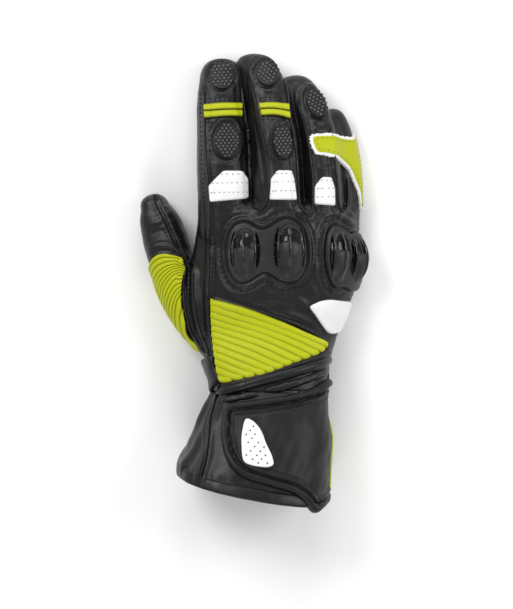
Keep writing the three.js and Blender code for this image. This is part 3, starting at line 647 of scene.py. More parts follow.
class Chart:
    """The heights of the skin seen along one direction, tilted from upright towards +X, so that
    pieces can be laid on it by plan outlines."""

    def __init__(self, tree, tilt, low, high, step=0.5):
        self.tilt = math.radians(tilt)
        self.step = step
        self.low = np.array(low, float)
        c, s = math.cos(self.tilt), math.sin(self.tilt)
        self.across = np.array([c, 0, -s])
        self.up = np.array([s, 0, c])
        nx, ny = (int((h - l) / step) + 1 for l, h in zip(low, high))
        down = Vector(-self.up)
        heights = np.full((nx, ny), np.nan)
        reach = 160
        for i in range(nx):
            x = self.low[0] + i * step
            for j in range(ny):
                y = self.low[1] + j * step
                start = self.across * x + self.up * reach
                hit = tree.ray_cast(Vector((start[0], y, start[2])), down)
                if hit[0] is not None:
                    heights[i, j] = reach - hit[3]
        self.known = ~np.isnan(heights)
        self.heights = self.filled(heights)
        blurred = self.heights.copy()
        for _ in range(2):
            for axis in (0, 1):
                blurred = (np.roll(blurred, 1, axis) + 2 * blurred + np.roll(blurred, -1, axis)) / 4
        self.slopes = np.gradient(blurred, step)
        self.edge = self.silhouette()

    def silhouette(self):
        """For each row, where the surface goes out of sight when it is seen from above."""
        side = math.copysign(1, self.tilt)
        xs = self.low[0] + np.arange(len(self.heights)) * self.step
        plan = side * (self.across[0] * xs[:, None] + self.up[0] * self.heights)
        edge = xs[np.argmax(np.where(self.known, plan, -1e9), axis=0)]
        wide = np.pad(edge, 12, mode="edge")
        return np.convolve(wide, np.ones(25) / 25, mode="valid")

    @staticmethod
    def filled(heights):
        """Carries the nearest known heights outwards, falling away from the edge."""
        for _ in range(26):
            gap = np.isnan(heights)
            if not gap.any():
                break
            total, count = np.zeros_like(heights), np.zeros_like(heights)
            for axis in (0, 1):
                for shift in (-1, 1):
                    near = np.roll(heights, shift, axis)
                    total += np.nan_to_num(near)
                    count += ~np.isnan(near)
            fill = gap & (count > 0)
            heights[fill] = total[fill] / count[fill] - 0.25
        return np.nan_to_num(heights)

    def spanning(self, gap):
        """The same chart with a taut sheet over hollows narrower than twice a gap."""
        taut = object.__new__(Chart)
        taut.__dict__.update(self.__dict__)
        heights = self.heights.copy()
        for pick in (np.maximum, np.minimum):
            for _ in range(int(gap / self.step)):
                for axis in (0, 1):
                    heights = pick(heights, pick(np.roll(heights, 1, axis), np.roll(heights, -1, axis)))
        for rounds in (70, 8):
            for _ in range(rounds):
                for axis in (0, 1):
                    heights = (np.roll(heights, 1, axis) + 2 * heights + np.roll(heights, -1, axis)) / 4
            heights = np.maximum(heights, self.heights) if rounds == 70 else heights
        taut.heights = heights
        taut.slopes = np.gradient(heights, self.step)
        return taut

    def read(self, grid, points):
        p = (points - self.low) / self.step
        i = np.clip(np.floor(p).astype(int), 0, np.array(grid.shape) - 2)
        f = np.clip(p - i, 0, 1)
        a, b = i[..., 0], i[..., 1]
        u, v = f[..., 0], f[..., 1]
        low = grid[a, b] * (1 - u) + grid[a + 1, b] * u
        high = grid[a, b + 1] * (1 - u) + grid[a + 1, b + 1] * u
        return low * (1 - v) + high * v

    def seat(self, points):
        """Where chart points lie on the skin, and the direction straight out of it there."""
        points = np.asarray(points, float)
        h = self.read(self.heights, points)[..., None]
        dx, dy = (self.read(s, points)[..., None] for s in self.slopes)
        place = self.across * points[..., :1] + self.up * h
        place[..., 1] = points[..., 1]
        normal = self.up - self.across * dx - np.array([0, 1.0, 0]) * dy
        return place, unit(normal)


def thumb_tree():
    """The thumb's stall alone, so that what is laid on it runs on under the hand's edge."""
    bm = stall_ball("thumb")
    tree = BVHTree.FromBMesh(bm)
    bm.free()
    return tree


def with_past(points):
    """Plan points as rows of three numbers, where a missing third one is 0."""
    return np.array([tuple(p) + (0,) * (3 - len(p)) for p in points], float)


class Drape:
    """Charts of the finished skin from above and from both sides."""

    def __init__(self, *meshes):
        points, faces = [], []
        for co, quads in meshes:
            faces += [tuple(int(i) + len(points) for i in q) for q in quads]
            points += [tuple(p) for p in co]
        tree = BVHTree.FromPolygons(points, faces)
        self.top = Chart(tree, 0, (-75, -146), (76, 146))
        self.right = Chart(tree, 42, (-62, -146), (60, 146))
        self.left = Chart(tree, -45, (-66, -70), (30, 64))
        self.thumb = Chart(thumb_tree(), -45, (-66, -70), (30, 64))

    def from_plan(self, chart, points):
        """Plan points as chart points of another direction."""
        points = with_past(points)
        plan, past = points[:, :2], points[:, 2]
        z = self.top.read(self.top.heights, plan)
        side = math.copysign(1, chart.tilt)
        x = plan[:, 0] * chart.across[0] + z * chart.across[2]
        rows = chart.low[1] + np.arange(len(chart.edge)) * chart.step
        edge = np.interp(plan[:, 1], rows, chart.edge)
        x = (np.minimum if side > 0 else np.maximum)(x, edge) + side * past
        return np.stack([x, plan[:, 1]], -1)


# Pieces laid on the skin


PATCH_RIM = (2.4, 1.7, 1.1, 0.6, 0.25, 0)  # mm, insets of the rings that round a patch's edge
PATCH_DEPTH = 0.7  # mm, how far a patch's underside sinks into the leather


def star_patch(outline, centre, seat, height, around, rings=14, rim=PATCH_RIM):
    """A closed patch over a star-shaped outline. height(inset, points, turn) gives how high its top
    stands above the skin, where inset is the distance from the outline in space."""
    line = smooth_line(anticlockwise(outline), around, closed=True) if len(outline) < around else outline
    middle = np.array(centre, float)
    inward = unit(middle - line)
    facing = np.clip(-np.sum(inward * outward(line), axis=1), 0.5, 1)[:, None]
    reach = np.linalg.norm(middle - line, axis=1)[:, None]
    drawn_in = lambda inset: line + inward * np.minimum(inset / facing, 0.8 * reach)
    levels = []
    inner = drawn_in(rim[0])
    for k in range(rings):
        levels.append((middle + (inner - middle) * k / rings, True))
    levels += [(drawn_in(inset), True) for inset in rim]
    levels += [(line, False), (drawn_in(1.5), False), (middle + (line - middle) * 0.02, False)]
    points = np.array([p for p, _ in levels])
    places, normals = seat(points)
    edge = places[rings + len(rim) - 1]
    flat = places.reshape(-1, 3)
    inset = np.full(len(flat), 1e9)
    for p in edge[:: max(1, around // 320)]:
        inset = np.minimum(inset, np.linalg.norm(flat - p, axis=1))
    inset = inset.reshape(places.shape[:2])
    inset[rings + len(rim) - 1] = 0
    turns = np.broadcast_to(np.arange(around) / around, inset.shape)
    rise = height(inset, points, turns)
    is_top = np.array([top for _, top in levels])[:, None]
    rise = np.where(is_top, rise, -PATCH_DEPTH)
    co = places + normals * rise[..., None]
    count = len(levels) - 1

    def place(turn, share):
        j = np.round(turn * around).astype(int) % around
        i = np.round((1 - share) * count).astype(int)
        return co[i, j]

    bm = bent_ball(around, count, place)
    bmesh.ops.remove_doubles(bm, verts=bm.verts, dist=1e-5)
    bmesh.ops.recalc_face_normals(bm, faces=bm.faces)
    return bm


def rolled(inset, thickness, radius):
    """The height of a panel whose edge is rounded over a radius."""
    x = np.clip(inset / radius, 0, 1)
    return thickness * np.sqrt(np.clip(1 - (1 - x) ** 2, 0, 1))


def eased(values, rounds):
    """A line's places or directions, smoothed along it, with its two ends kept."""
    for _ in range(rounds):
        values[1:-1] = (values[:-2] + 2 * values[1:-1] + values[2:]) / 4
    return values


def seated_line(chart, points, count, lift):
    """A line over the skin through plan points: its places and the normals there."""
    places, normals = chart.seat(smooth_line(points, count))
    return eased(places, 2) + normals * lift, normals


def bead(places, normals, width, height, sides, taper, wave=np.ones_like):
    """A raised ribbon of leather along a line on the skin. taper is the share of it that rounds off
    at each end, and wave(share) swells it along its length."""
    count = len(places)
    side = unit(np.cross(unit(np.gradient(places, axis=0)), normals))

    def place(turn, share):
        at = share * (count - 1)
        i = np.clip(np.floor(at).astype(int), 0, count - 2)
        f = (at - i)[:, None]
        mix = lambda a: a[i] * (1 - f) + a[i + 1] * f
        ends = np.sqrt(np.clip(np.minimum(share, 1 - share) / taper, 0, 1))[:, None]
        size = ends * wave(share)[:, None]
        c, s = np.cos(2 * math.pi * turn)[:, None], np.sin(2 * math.pi * turn)[:, None]
        return mix(places) + size * (mix(side) * c * width / 2 + mix(unit(normals)) * s * height)

    return bent_ball(sides, count - 1, place)


def repeated(placements):
    """One round bead at each placement: its place, and three vectors that are its half axes."""
    parts = []
    for start in range(0, len(placements), 60):
        bm = bmesh.new()
        for place, a, b, c in placements[start:start + 60]:
            m = Matrix((*np.stack([a, b, c, place], -1).tolist(), (0, 0, 0, 1)))
            bmesh.ops.create_uvsphere(bm, u_segments=6, v_segments=4, radius=1, matrix=m)
        bmesh.ops.recalc_face_normals(bm, faces=bm.faces)
        parts.append(bm)
    return joined(parts)


STITCH = 2.1  # mm, length of a stitch
STITCH_PITCH = 2.9  # mm
THREAD = 0.34  # mm, half the thickness of the thread
LOWEST_STITCH = 7  # mm, height below which rows have run on under the palm


def stitch_row(chart, points, offset=0.0, closed=False, lift=0.12, thread=THREAD):
    """The stitches along a line, moved sideways by an offset, as placements."""
    count = max(int(running_length(np.array(points, float))[-1] / STITCH_PITCH), 2)
    fine = smooth_line(points, count * 4 + (0 if closed else 1), closed=closed)
    fine = fine + outward(fine, closed) * offset
    places, normals = chart.seat(fine)
    made = []
    for k in range(0, len(fine) - (0 if closed else 3), 4):
        a, b = places[k], places[(k + 3) % len(fine)]
        if min(a[2], b[2]) < LOWEST_STITCH:
            continue
        n = unit(normals[k] + normals[(k + 3) % len(fine)])
        ahead = unit(b - a)
        half = min(np.linalg.norm(b - a) / 2, STITCH / 2)
        side = np.cross(n, ahead)
        made.append(((a + b) / 2 + n * lift, ahead * half, side * thread, n * thread * 0.8))
    return made


# Materials


def linear(hex_colour):
    """An sRGB hex value as linear colour."""
    value = hex_colour.lstrip("#")
    out = []
    for k in (0, 2, 4):
        c = int(value[k:k + 2], 16) / 255
        out.append(c / 12.92 if c <= 0.04045 else ((c + 0.055) / 1.055) ** 2.4)
    return (*out, 1.0)


def add_node(tree, kind, settings=None, inputs=None):
    """Adds a node, sets its properties, and sets or links its inputs."""
    node = tree.nodes.new(kind)
    for key, value in (settings or {}).items():
        setattr(node, key, value)
    for key, value in (inputs or {}).items():
        socket = node.inputs[key]
        if isinstance(value, bpy.types.NodeSocket):
            tree.links.new(value, socket)
        else:
            socket.default_value = value
    return node


def new_material(name, **surface):
    """A material with one Principled shader, whose plain values are set on its own sockets."""
    material = bpy.data.materials.new(name)
    material.use_nodes = True
    tree = material.node_tree
    tree.nodes.clear()
    shader = add_node(tree, "ShaderNodeBsdfPrincipled", inputs=surface)
    add_node(tree, "ShaderNodeOutputMaterial", inputs={"Surface": shader.outputs["BSDF"]})
    place = add_node(tree, "ShaderNodeTexCoord").outputs["Object"]
    return material, tree, shader, place


PER_METRE = 1000.0  # patterns are scaled in waves per millimetre, and Object coordinates are metres


def grain_bump(tree, place, cell_mm, depth):
    """Leather grain: small pillows between fine creases, over a softer unevenness."""
    cells = add_node(
        tree, "ShaderNodeTexVoronoi", {"feature": "DISTANCE_TO_EDGE"},
        {"Vector": place, "Scale": PER_METRE / cell_mm},
    )
    pillow = add_node(
        tree, "ShaderNodeMapRange", {"interpolation_type": "SMOOTHSTEP"},
        {"Value": cells.outputs["Distance"], "From Min": 0.0, "From Max": 0.35},
    )
    fine = add_node(
        tree, "ShaderNodeTexNoise", None,
        {"Vector": place, "Scale": PER_METRE / GRAIN_NOISE_MM, "Detail": 3.0, "Roughness": 0.55},
    )
    height = add_node(
        tree, "ShaderNodeMath", {"operation": "MULTIPLY_ADD"},
        {0: fine.outputs["Fac"], 1: 0.9, 2: pillow.outputs["Result"]},
    )
    return add_node(
        tree, "ShaderNodeBump", None,
        {"Height": height.outputs["Value"], "Strength": depth, "Distance": 0.00012},
    )


def tinted(tree, colour, groove):
    """A colour that turns to another where the piece's points are tinted, and that tint: painted shade in
    the grooves of ribbed panels, and the polished black of the guards' vents.
    """
    tint = add_node(tree, "ShaderNodeAttribute", {"attribute_name": "tint"}).outputs["Fac"]
    mix = {"Factor": tint, "A": colour, "B": linear(groove)}
    return add_node(tree, "ShaderNodeMix", {"data_type": "RGBA"}, mix).outputs["Result"], tint


BLOTCH_MM = 22  # soft unevenness of the dye and the wax
CREASE_MM = 16  # soft creases of worn leather
GRAIN_NOISE_MM = 0.7  # softer unevenness under the grain's cells
SPECK_MM = 0.5  # coarser than a spark-eroded grit, so that it shows
WEAVE_MM = 2.7727  # from rib to rib of the webbing, coarser than real ones so that they show
BANDS_PER_UNIT = 10 * math.sqrt(3) / (2 * math.pi)  # diagonal bands of Blender's wave texture


def leather_material(
    name, dark, light, roughness, grain=0.35, cell_mm=1.1, worn=0.12, groove=None, creases=0.0, level=0.25
):
    """Full-grain cowhide, dyed through and lightly waxed: fine pebbled grain and soft creases that
    break its satin shine up, a little duller where it is rubbed."""
    material, tree, shader, place = new_material(
        name, Roughness=roughness, IOR=1.48, **{"Specular IOR Level": level}
    )
    blotch = add_node(
        tree, "ShaderNodeTexNoise", None,
        {"Vector": place, "Scale": PER_METRE / BLOTCH_MM, "Detail": 4.0, "Roughness": 0.6},
    )
    colour = add_node(
        tree, "ShaderNodeMix", {"data_type": "RGBA"},
        {"Factor": blotch.outputs["Fac"], "A": linear(dark), "B": linear(light)},
    )
    shine = add_node(
        tree, "ShaderNodeMapRange", None,
        {"Value": blotch.outputs["Fac"], "From Min": 0.3, "From Max": 0.7,
         "To Min": roughness - worn, "To Max": roughness + worn},
    )
    bump = grain_bump(tree, place, cell_mm, grain)
    if creases:
        folds = add_node(
            tree, "ShaderNodeTexNoise", {"noise_type": "RIDGED_MULTIFRACTAL"},
            {
                "Vector": place, "Scale": PER_METRE / CREASE_MM, "Detail": 4.0, "Roughness": 0.45,
                "Distortion": 0.5,
            },
        )
        soft = {"Height": folds.outputs["Fac"], "Strength": creases, "Distance": 0.0006}
        under = add_node(tree, "ShaderNodeBump", None, soft)
        tree.links.new(under.outputs["Normal"], bump.inputs["Normal"])
    shade = colour.outputs["Result"]
    # Painted shade: the tinted grooves of a ribbed panel turn to the darker groove colour.
    if groove:
        shade, _ = tinted(tree, shade, groove)
    tree.links.new(shade, shader.inputs["Base Color"])
    tree.links.new(shine.outputs["Result"], shader.inputs["Roughness"])
    tree.links.new(bump.outputs["Normal"], shader.inputs["Normal"])
    return material


def plastic_material(name, dark, light, roughness, depth=0.25, coat=0.0, vents=None):
    """Injection-moulded polyurethane with a fine spark-eroded texture: an even, soft shine, and its
    vents are polished."""
    polish = {"Coat Weight": coat, "Coat Roughness": 0.08, "Specular IOR Level": 0.35}
    material, tree, shader, place = new_material(name, Roughness=roughness, IOR=1.5, **polish)
    speck = add_node(
        tree, "ShaderNodeTexNoise", None,
        {"Vector": place, "Scale": PER_METRE / SPECK_MM, "Detail": 2.0},
    )
    colour = add_node(
        tree, "ShaderNodeMix", {"data_type": "RGBA"},
        {"Factor": speck.outputs["Fac"], "A": linear(dark), "B": linear(light)},
    )
    bump = add_node(
        tree, "ShaderNodeBump", None,
        {"Height": speck.outputs["Fac"], "Strength": depth, "Distance": 0.00006},
    )
    shade = colour.outputs["Result"]
    if vents:
        shade, tint = tinted(tree, shade, vents)
        shine = {"Value": tint, "To Min": roughness, "To Max": 0.08}
        polished = add_node(tree, "ShaderNodeMapRange", None, shine)
        tree.links.new(polished.outputs["Result"], shader.inputs["Roughness"])
    tree.links.new(shade, shader.inputs["Base Color"])
    tree.links.new(bump.outputs["Normal"], shader.inputs["Normal"])
    return material


def webbing_material(name, dark, light):
    """Woven polyester webbing: slanting ribs, and no shine to speak of."""
    material, tree, shader, place = new_material(
        name, Roughness=0.8, **{"Sheen Weight": 0.2, "Sheen Roughness": 0.4}
    )
    wave = add_node(
        tree, "ShaderNodeTexWave", {"wave_type": "BANDS", "bands_direction": "DIAGONAL"},
        {"Vector": place, "Scale": PER_METRE / WEAVE_MM / BANDS_PER_UNIT, "Distortion": 0.4},
    )
    colour = add_node(
        tree, "ShaderNodeMix", {"data_type": "RGBA"},
        {"Factor": wave.outputs["Fac"], "A": linear(dark), "B": linear(light)},
    )
    bump = add_node(
        tree, "ShaderNodeBump", None,
        {"Height": wave.outputs["Fac"], "Strength": 0.5, "Distance": 0.0002},
    )
    tree.links.new(colour.outputs["Result"], shader.inputs["Base Color"])
    tree.links.new(bump.outputs["Normal"], shader.inputs["Normal"])
    return material


class Finishes:
    """The glove's materials, each made once."""

    def __init__(self, look):
        # The hand and cuff: aniline-dyed and waxed, so its creases catch the light
        self.leather = leather_material(
            "waxed_cowhide", look.leather_dark, look.leather_light, 0.36, worn=0.08, creases=0.6, level=0.36
        )
        # The flap: drummed smooth, with a finer grain and a flatter shine
        self.smooth = leather_material(
            "drummed_cowhide", look.flap_dark, look.flap_light, 0.46, grain=0.14, cell_mm=0.9, worn=0.05,
            creases=0.35, level=0.28,
        )
        # Pigmented leather, which is even in colour, with painted shade darkening the grooves between its
        # ribs
        self.lime = leather_material(
            "lime_cowhide", look.lime_dark, look.lime_light, 0.46, grain=0.18, cell_mm=0.9, worn=0.05,
            groove="#2b2f02",
        )
        self.lime_thread = leather_material("lime_thread", "#6f7612", "#7d8416", 0.6, grain=0.2, cell_mm=0.5)
        self.white = leather_material(
            "white_cowhide", "#dcdcdc", "#e6e6e6", 0.5, grain=0.12, cell_mm=0.9, worn=0.04
        )
        # Softer, padded leather with a broader grain
        self.padded_white = leather_material(
            "white_nappa", "#dddddd", "#e8e8e8", 0.5, grain=0.2, cell_mm=1.3, worn=0.05
        )
        # Brushed cloth with a frayed edge and no shine
        self.fleece = leather_material("white_fleece", "#dadad8", "#ececea", 0.9, grain=0.5, cell_mm=0.6)
        self.shell = plastic_material(
            "moulded_polyurethane", look.guard_dark, look.guard_light, 0.42, vents="#040404"
        )
        # Polished in the mould, so it mirrors the lamps
        self.gloss = plastic_material(
            "polished_polyurethane", "#080808", "#0b0b0b", 0.12, depth=0.0, coat=0.6
        )
        self.rubber = plastic_material("grip_rubber", "#080808", "#0c0c0c", 0.5, depth=0.4)
        # The dots' grey, lighter than the pad's rubber, is a painted highlight; they also have a glossy coat.
        self.dots = plastic_material("glossy_rubber_painted_highlight", "#363636", "#404040", 0.25, depth=0.0, coat=0.8)
        self.thread = leather_material("bonded_thread", "#050505", "#080808", 0.5, grain=0.2, cell_mm=0.5)
        # Holes in leather, drawn as beads of colour on it: dark where they go through, which is the black
        # leather beneath with painted shade; grey where they only prick it, which is painted shade
        self.hole = plastic_material("punched_hole", "#0c0c0c", "#101010", 0.9, depth=0.0)
        self.pricked = plastic_material("pricked_hole_shade", "#858585", "#8f8f8f", 0.9, depth=0.0)
        self.webbing = webbing_material("woven_webbing", "#161616", "#262626")


# Pieces of the glove. Each maker draws one piece in plan millimetres and gives back its bmesh.

PANEL = 1.3  # mm, thickness of a sewn-on panel
RIB_WALL = 1.2  # mm, thickness of a ribbed panel
SEAT = 0.3  # mm, how far a sewn-on panel's underside stays off the leather
FINGER_SEAM_Y = 49.5  # mm on the plan, where the fingers' leather meets the hand's
# Where the thumb's leather meets the hand's, and the plan is the thumb's to its left
THUMB_CUT = [
    (-40, 70), (-40.6, 30), (-42.4, 11), (-44.4, 9.4), (-45.2, 2), (-45.2, -8), (-43.4, -19),
    (-40.4, -29.6), (-36.4, -38.6), (-33.4, -45), (-33.4, -60),
]


def region_of(skin):
    """Which piece of leather each face belongs to."""
    centre = skin.co[skin.quads].mean(axis=1)
    normal = skin.normals()[skin.quads].mean(axis=1)
    nearest = np.full(len(centre), 1e9)
    owner = np.full(len(centre), "hand_back", dtype=object)
    for name in list(STALLS)[:4]:
        sections = STALLS[name][1]
        for t in np.linspace(1, len(sections.rows) - 0.4, 60):
            row = sections.at(min(t, len(sections.rows) - 1))
            middle = np.array([row["x"], row["y"], row["z"]])
            d = np.linalg.norm((centre - middle) / [row["half_width"], 14, row["half_height"]], axis=1)
            closer = (d < nearest) & (centre[:, 1] > FINGER_SEAM_Y)
            nearest = np.where(closer, d, nearest)
            owner[closer] = name
    _, _, side = distance_to(centre[:, :2], THUMB_CUT)
    owner[(side < 0) & (centre[:, 1] < 64) & (centre[:, 0] < -29)] = "thumb"
    row = HAND.at(np.interp(centre[:, 1], HAND.rows[:, 0], np.arange(len(HAND.rows))))
    share = (centre[:, 0] - row["x"]) / row["half_width"]
    left = share < 0
    drop = np.where(left, row["drop_left"], row["drop_right"])
    middle_z = row["z"] - drop * np.abs(share) ** np.where(left, 2, 2.5)
    under = (owner == "hand_back") & ((centre[:, 2] < middle_z) | (normal[:, 2] < -0.3))
    owner[under] = "hand_palm"
    owner[centre[:, 1] < WRIST_Y + 0.5] = "cap"
    return owner


def leather_piece(skin, faces):
    """Part of the skin, with its wall, as a bmesh."""
    mesh = skin.mesh()
    bm = bmesh.new()
    bm.from_mesh(mesh)
    bpy.data.meshes.remove(mesh)
    bm.faces.ensure_lookup_table()
    facing = bm.verts.layers.float_vector.new("facing")
    for v, direction in zip(bm.verts, skin.facing):
        v[facing] = direction
    chosen = set(np.nonzero(faces)[0].tolist())
    bmesh.ops.delete(bm, geom=[f for f in bm.faces if f.index not in chosen], context="FACES")
    for v in walled(bm, WALL):
        v[facing] = -v[facing]
    return bm


CUFF_END = 4.93  # rows of the cuff's table before its leather goes into the hem
HEM_END = len(CUFF.rows) - 1.0


def cuff_place(turn, t, grow=0.0):
    """A point of the cuff: turn runs round it from 0 to 1, and t along its rows."""
    return sleeve_point(CUFF, t, 2 * math.pi * turn, grow, CUFF_LEVEL)


def gauntlet():
    """The flared cuff, gathered towards the thumb side, with its lining."""

    def place(u, v):
        t = v * CUFF_END
        point = cuff_place(u, t)
        normal = unit(cuff_place(u, t, 1.0) - cuff_place(u, t) + 1e-9)
        turn = u * 2 * math.pi
        thumb_side = bell(turn - 2.75, 0.62)
        near = np.exp(-v * 0.9)
        waves = np.sin(turn * 17 + 1.6 * np.sin(v * 5)) * 0.8 + 0.7 * np.sin(turn * 10.4 + 2 + 2 * v)
        gather = 1.3 * waves * thumb_side * near
        d, _, side = distance_to(point[:, :2], smooth_line(GUSSET, 40))
        above = (point[:, 2] > 34).astype(float)
        gusset = (0.9 * bell(d - 2.2, 1.3) - 1.3 * bell(d, 0.9)) * above * np.where(side < 0, 0.8, 1.2)
        swell = 0.5 * noise_field(point, 24, 11) + 0.25 * noise_field(point, 9, 12)
        lift = (gather + gusset + swell) * ramp(point[:, 2], 3, 12)
        return point + normal * lift[:, None]

    return bent_sheet(320, 110, place, WALL)


def hem_roll():
    """The folded hem round the cuff's mouth: a flat band with a rolled edge."""

    def place(u, v):
        # A flattened loop round the leather's edge: v runs out over it, round it and back inside.
        turn = v * 2 * math.pi
        reach = np.where(np.cos(turn) > 0, 1.6 * np.cos(turn), 6.6 * np.cos(turn))
        out = (WALL / 2 + 0.9) * signed_power(np.sin(turn), 0.6) - WALL / 2
        edge = cuff_place(u, HEM_END) - cuff_place(u, HEM_END - 0.25)
        point = cuff_place(u, HEM_END, out)
        away = cuff_place(u, HEM_END, 1.0) - cuff_place(u, HEM_END)
        ripple = 0.25 * noise_field(point, 8, 21) + 0.35 * noise_field(point, 20, 22)
        ripple *= ramp(point[:, 2], 3, 12)
        return point + unit(edge) * reach[:, None] + unit(away) * ripple[:, None]

    return bent_sheet(260, 18, place)


FLAP = [
    (44, -58.4, 1), (40.4, -60.6), (34.5, -64), (21.9, -68.5), (2.9, -71.4), (-12.9, -73.6), (-19.2, -76.8),
    (-21.5, -81.8), (-21.5, -97.6), (-19.2, -107.1), (-14.8, -114.7), (-6.6, -120.4), (9.2, -125.4),
    (21.9, -129.2), (28.2, -133.7), (32, -138.6), (35.8, -141.6), (39.2, -139), (44.6, -133.6, 2.5),
    (45, -128, 8.2), (45, -110, 10.5), (45, -86, 10.5), (45, -68, 9), (45, -60, 5),
]
FLAP_CENTRE = (22, -99)
VENT = [
    (-4.7, -83.9), (-7.8, -86.4), (-9.3, -97.6), (-8.4, -109), (-3.4, -112.4), (5.5, -113.7),
    (10.2, -112), (9.6, -107.4), (6.1, -98.9), (1.7, -89),
]
VENT_CENTRE = (-1.4, -101)
SIDE_PANEL = [
    (48, -84.6, 1.5), (48, -91.3, -0.6), (48, -97.6, -1.4), (48, -112, -1.4), (48, -124, -0.8),
    (48, -127, 1.4), (48, -122.6, 4), (48, -108, 4.6), (48, -92, 4.4), (48, -85.6, 3),
]
# mm, insets of the rings that draw the flap's rolled rim
FLAP_RIM = (*np.arange(11.2, 1.6, -0.4), 1.3, 0.9, 0.5, 0.2, 0)


def cuff_flap(drape):
    """The closing flap: a padded rolled rim, a stitched groove and a smooth raised field."""
    outline = drape.from_plan(drape.right, FLAP)
    centre = drape.from_plan(drape.right, [FLAP_CENTRE])[0]

    def height(inset, points, turn):
        rim = rolled(inset, 3.9, 2.5) - 2.5 * ramp(inset, 3.4, 5.0) ** 1.3
        ridge = 1.1 * bell(inset - 7.2, 1.0) + 0.4 * ramp(inset, 5, 7) - 0.3 * bell(inset - 9.4, 0.8)
        field = 0.25 * noise_field(flat_points(points), 34, 31)
        return rim + ridge + field * ramp(inset, 4, 12)

    return star_patch(outline, centre, drape.right.seat, height, around=320, rings=40, rim=FLAP_RIM)


def flat_points(points):
    """Chart points with a third coordinate of nothing."""
    return np.concatenate([points, np.zeros((*points.shape[:-1], 1))], -1)


def rib_sheet(chart, point_at, ribs, along, low, high, ends, per_rib=12, lift=0.0, dark=1.0):
    """A panel of parallel ribs, low in their grooves and high on their crowns. point_at(u, v, f) gives
    chart points: u runs along the ribs, v across them all, and f across the one rib. ends says over
    what share each end is rounded down, and dark how strongly shade is painted into the grooves."""
    rows = ribs * per_rib

    def shares(v):
        row = np.round(v * rows)
        rib = np.minimum(row // per_rib, ribs - 1)
        f = (1 - np.cos(math.pi * (row - rib * per_rib) / per_rib)) / 2
        return (rib + f) / ribs, f

    def place(u, v):
        across, f = shares(v)
        places, normals = chart.seat(point_at(u, across, f))
        crown = np.clip(1 - (2 * f - 1) ** 2, 0, 1) ** 0.36
        end = np.ones(len(u))
        for share, run in zip(ends, (u, 1 - u)):
            if share:
                end = np.minimum(end, np.sqrt(1 - (1 - np.clip(run / share, 0, 1)) ** 2))
        height = lift + low * (0.2 + 0.8 * end) + (high - low) * crown * end
        height += 0.1 * noise_field(places, 14, 41) + 0.05 * noise_field(places, 5, 42)
        return places + normals * height[:, None]

    # The grooves' painted shade: a tint along the two edges of each rib, as strong as dark says.
    def groove(u, v):
        f = shares(v)[1]
        return dark * bell(np.minimum(f, 1 - f), 0.15)

    return bent_sheet(along, rows, place, RIB_WALL, groove)


def along_line(line, share):
    """The points at shares of a plan line's length."""
    line = np.array(line, float)
    run = running_length(line[:, :2])
    stops = np.asarray(share) * run[-1]
    return np.stack([np.interp(stops, run, line[:, k]) for k in range(line.shape[1])], -1)


TRIANGLE_TOP = [(-28.6, -9.6), (-7.4, -16.4), (12, -22.2), (28.6, -28.3), (38.6, -34.2), (42, -37.6)]
TRIANGLE_LEFT = [(-28.6, -9.6), (-28.2, -23.1), (-26.6, -37), (-24.2, -50.8), (-20.9, -61)]
TRIANGLE_FOOT = [
    (42, -37.6), (39.1, -41.9), (33, -44.6), (23.6, -48), (14.8, -51.3), (3.7, -55.2), (-7.4, -57.7),
    (-18.4, -60.4), (-20.9, -61),
]
TRIANGLE_RIBS = 12
TRIANGLE_SLOPE = -20.5  # degrees, the ribs' slope on the plan


def back_ribs(drape):
    """The ribbed lime triangle: its ribs run parallel to its top edge, hook up at their left ends and
    end in scallops along its foot."""
    left, foot = (smooth_line(line, 80) for line in (TRIANGLE_LEFT, TRIANGLE_FOOT))
    slope = math.radians(TRIANGLE_SLOPE)
    down = np.array([math.sin(slope), -math.cos(slope)])
    start = np.array(TRIANGLE_TOP[0])
    depth_left, depth_foot = (left - start) @ down, (foot - start) @ down
    depth_foot = np.maximum.accumulate(depth_foot)
    deepest = min(depth_left[-1], depth_foot[-1])

    def point_at(u, v, f):
        depth = v * deepest
        a = np.stack([np.interp(depth, depth_left, left[:, k]) for k in (0, 1)], -1)
        b = np.stack([np.interp(depth, depth_foot, foot[:, k]) for k in (0, 1)], -1)
        length = np.linalg.norm(b - a, axis=1)
        bulge = 1.1 * np.sqrt(np.clip(1 - (2 * f - 1) ** 2, 0, 1)) * ramp(u, 0.9, 1)
        share = u * (1 + bulge / np.maximum(length, 4))
        point = a + (b - a) * share[:, None]
        hook = 1.9 * np.exp(-u * length / 6.5) * ramp(length, 0, 20)
        bow = 3.3 * np.sin(math.pi * np.clip(u, 0, 1) ** 0.9) * (1 - v) * ramp(length, 8, 60)
        point[:, 1] += hook * ramp(v, 0, 0.09) + bow
        return point

    return rib_sheet(drape.top, point_at, TRIANGLE_RIBS, 110, 0.5, 2.2, (0, 0.025))


THUMB_RIBS = 14
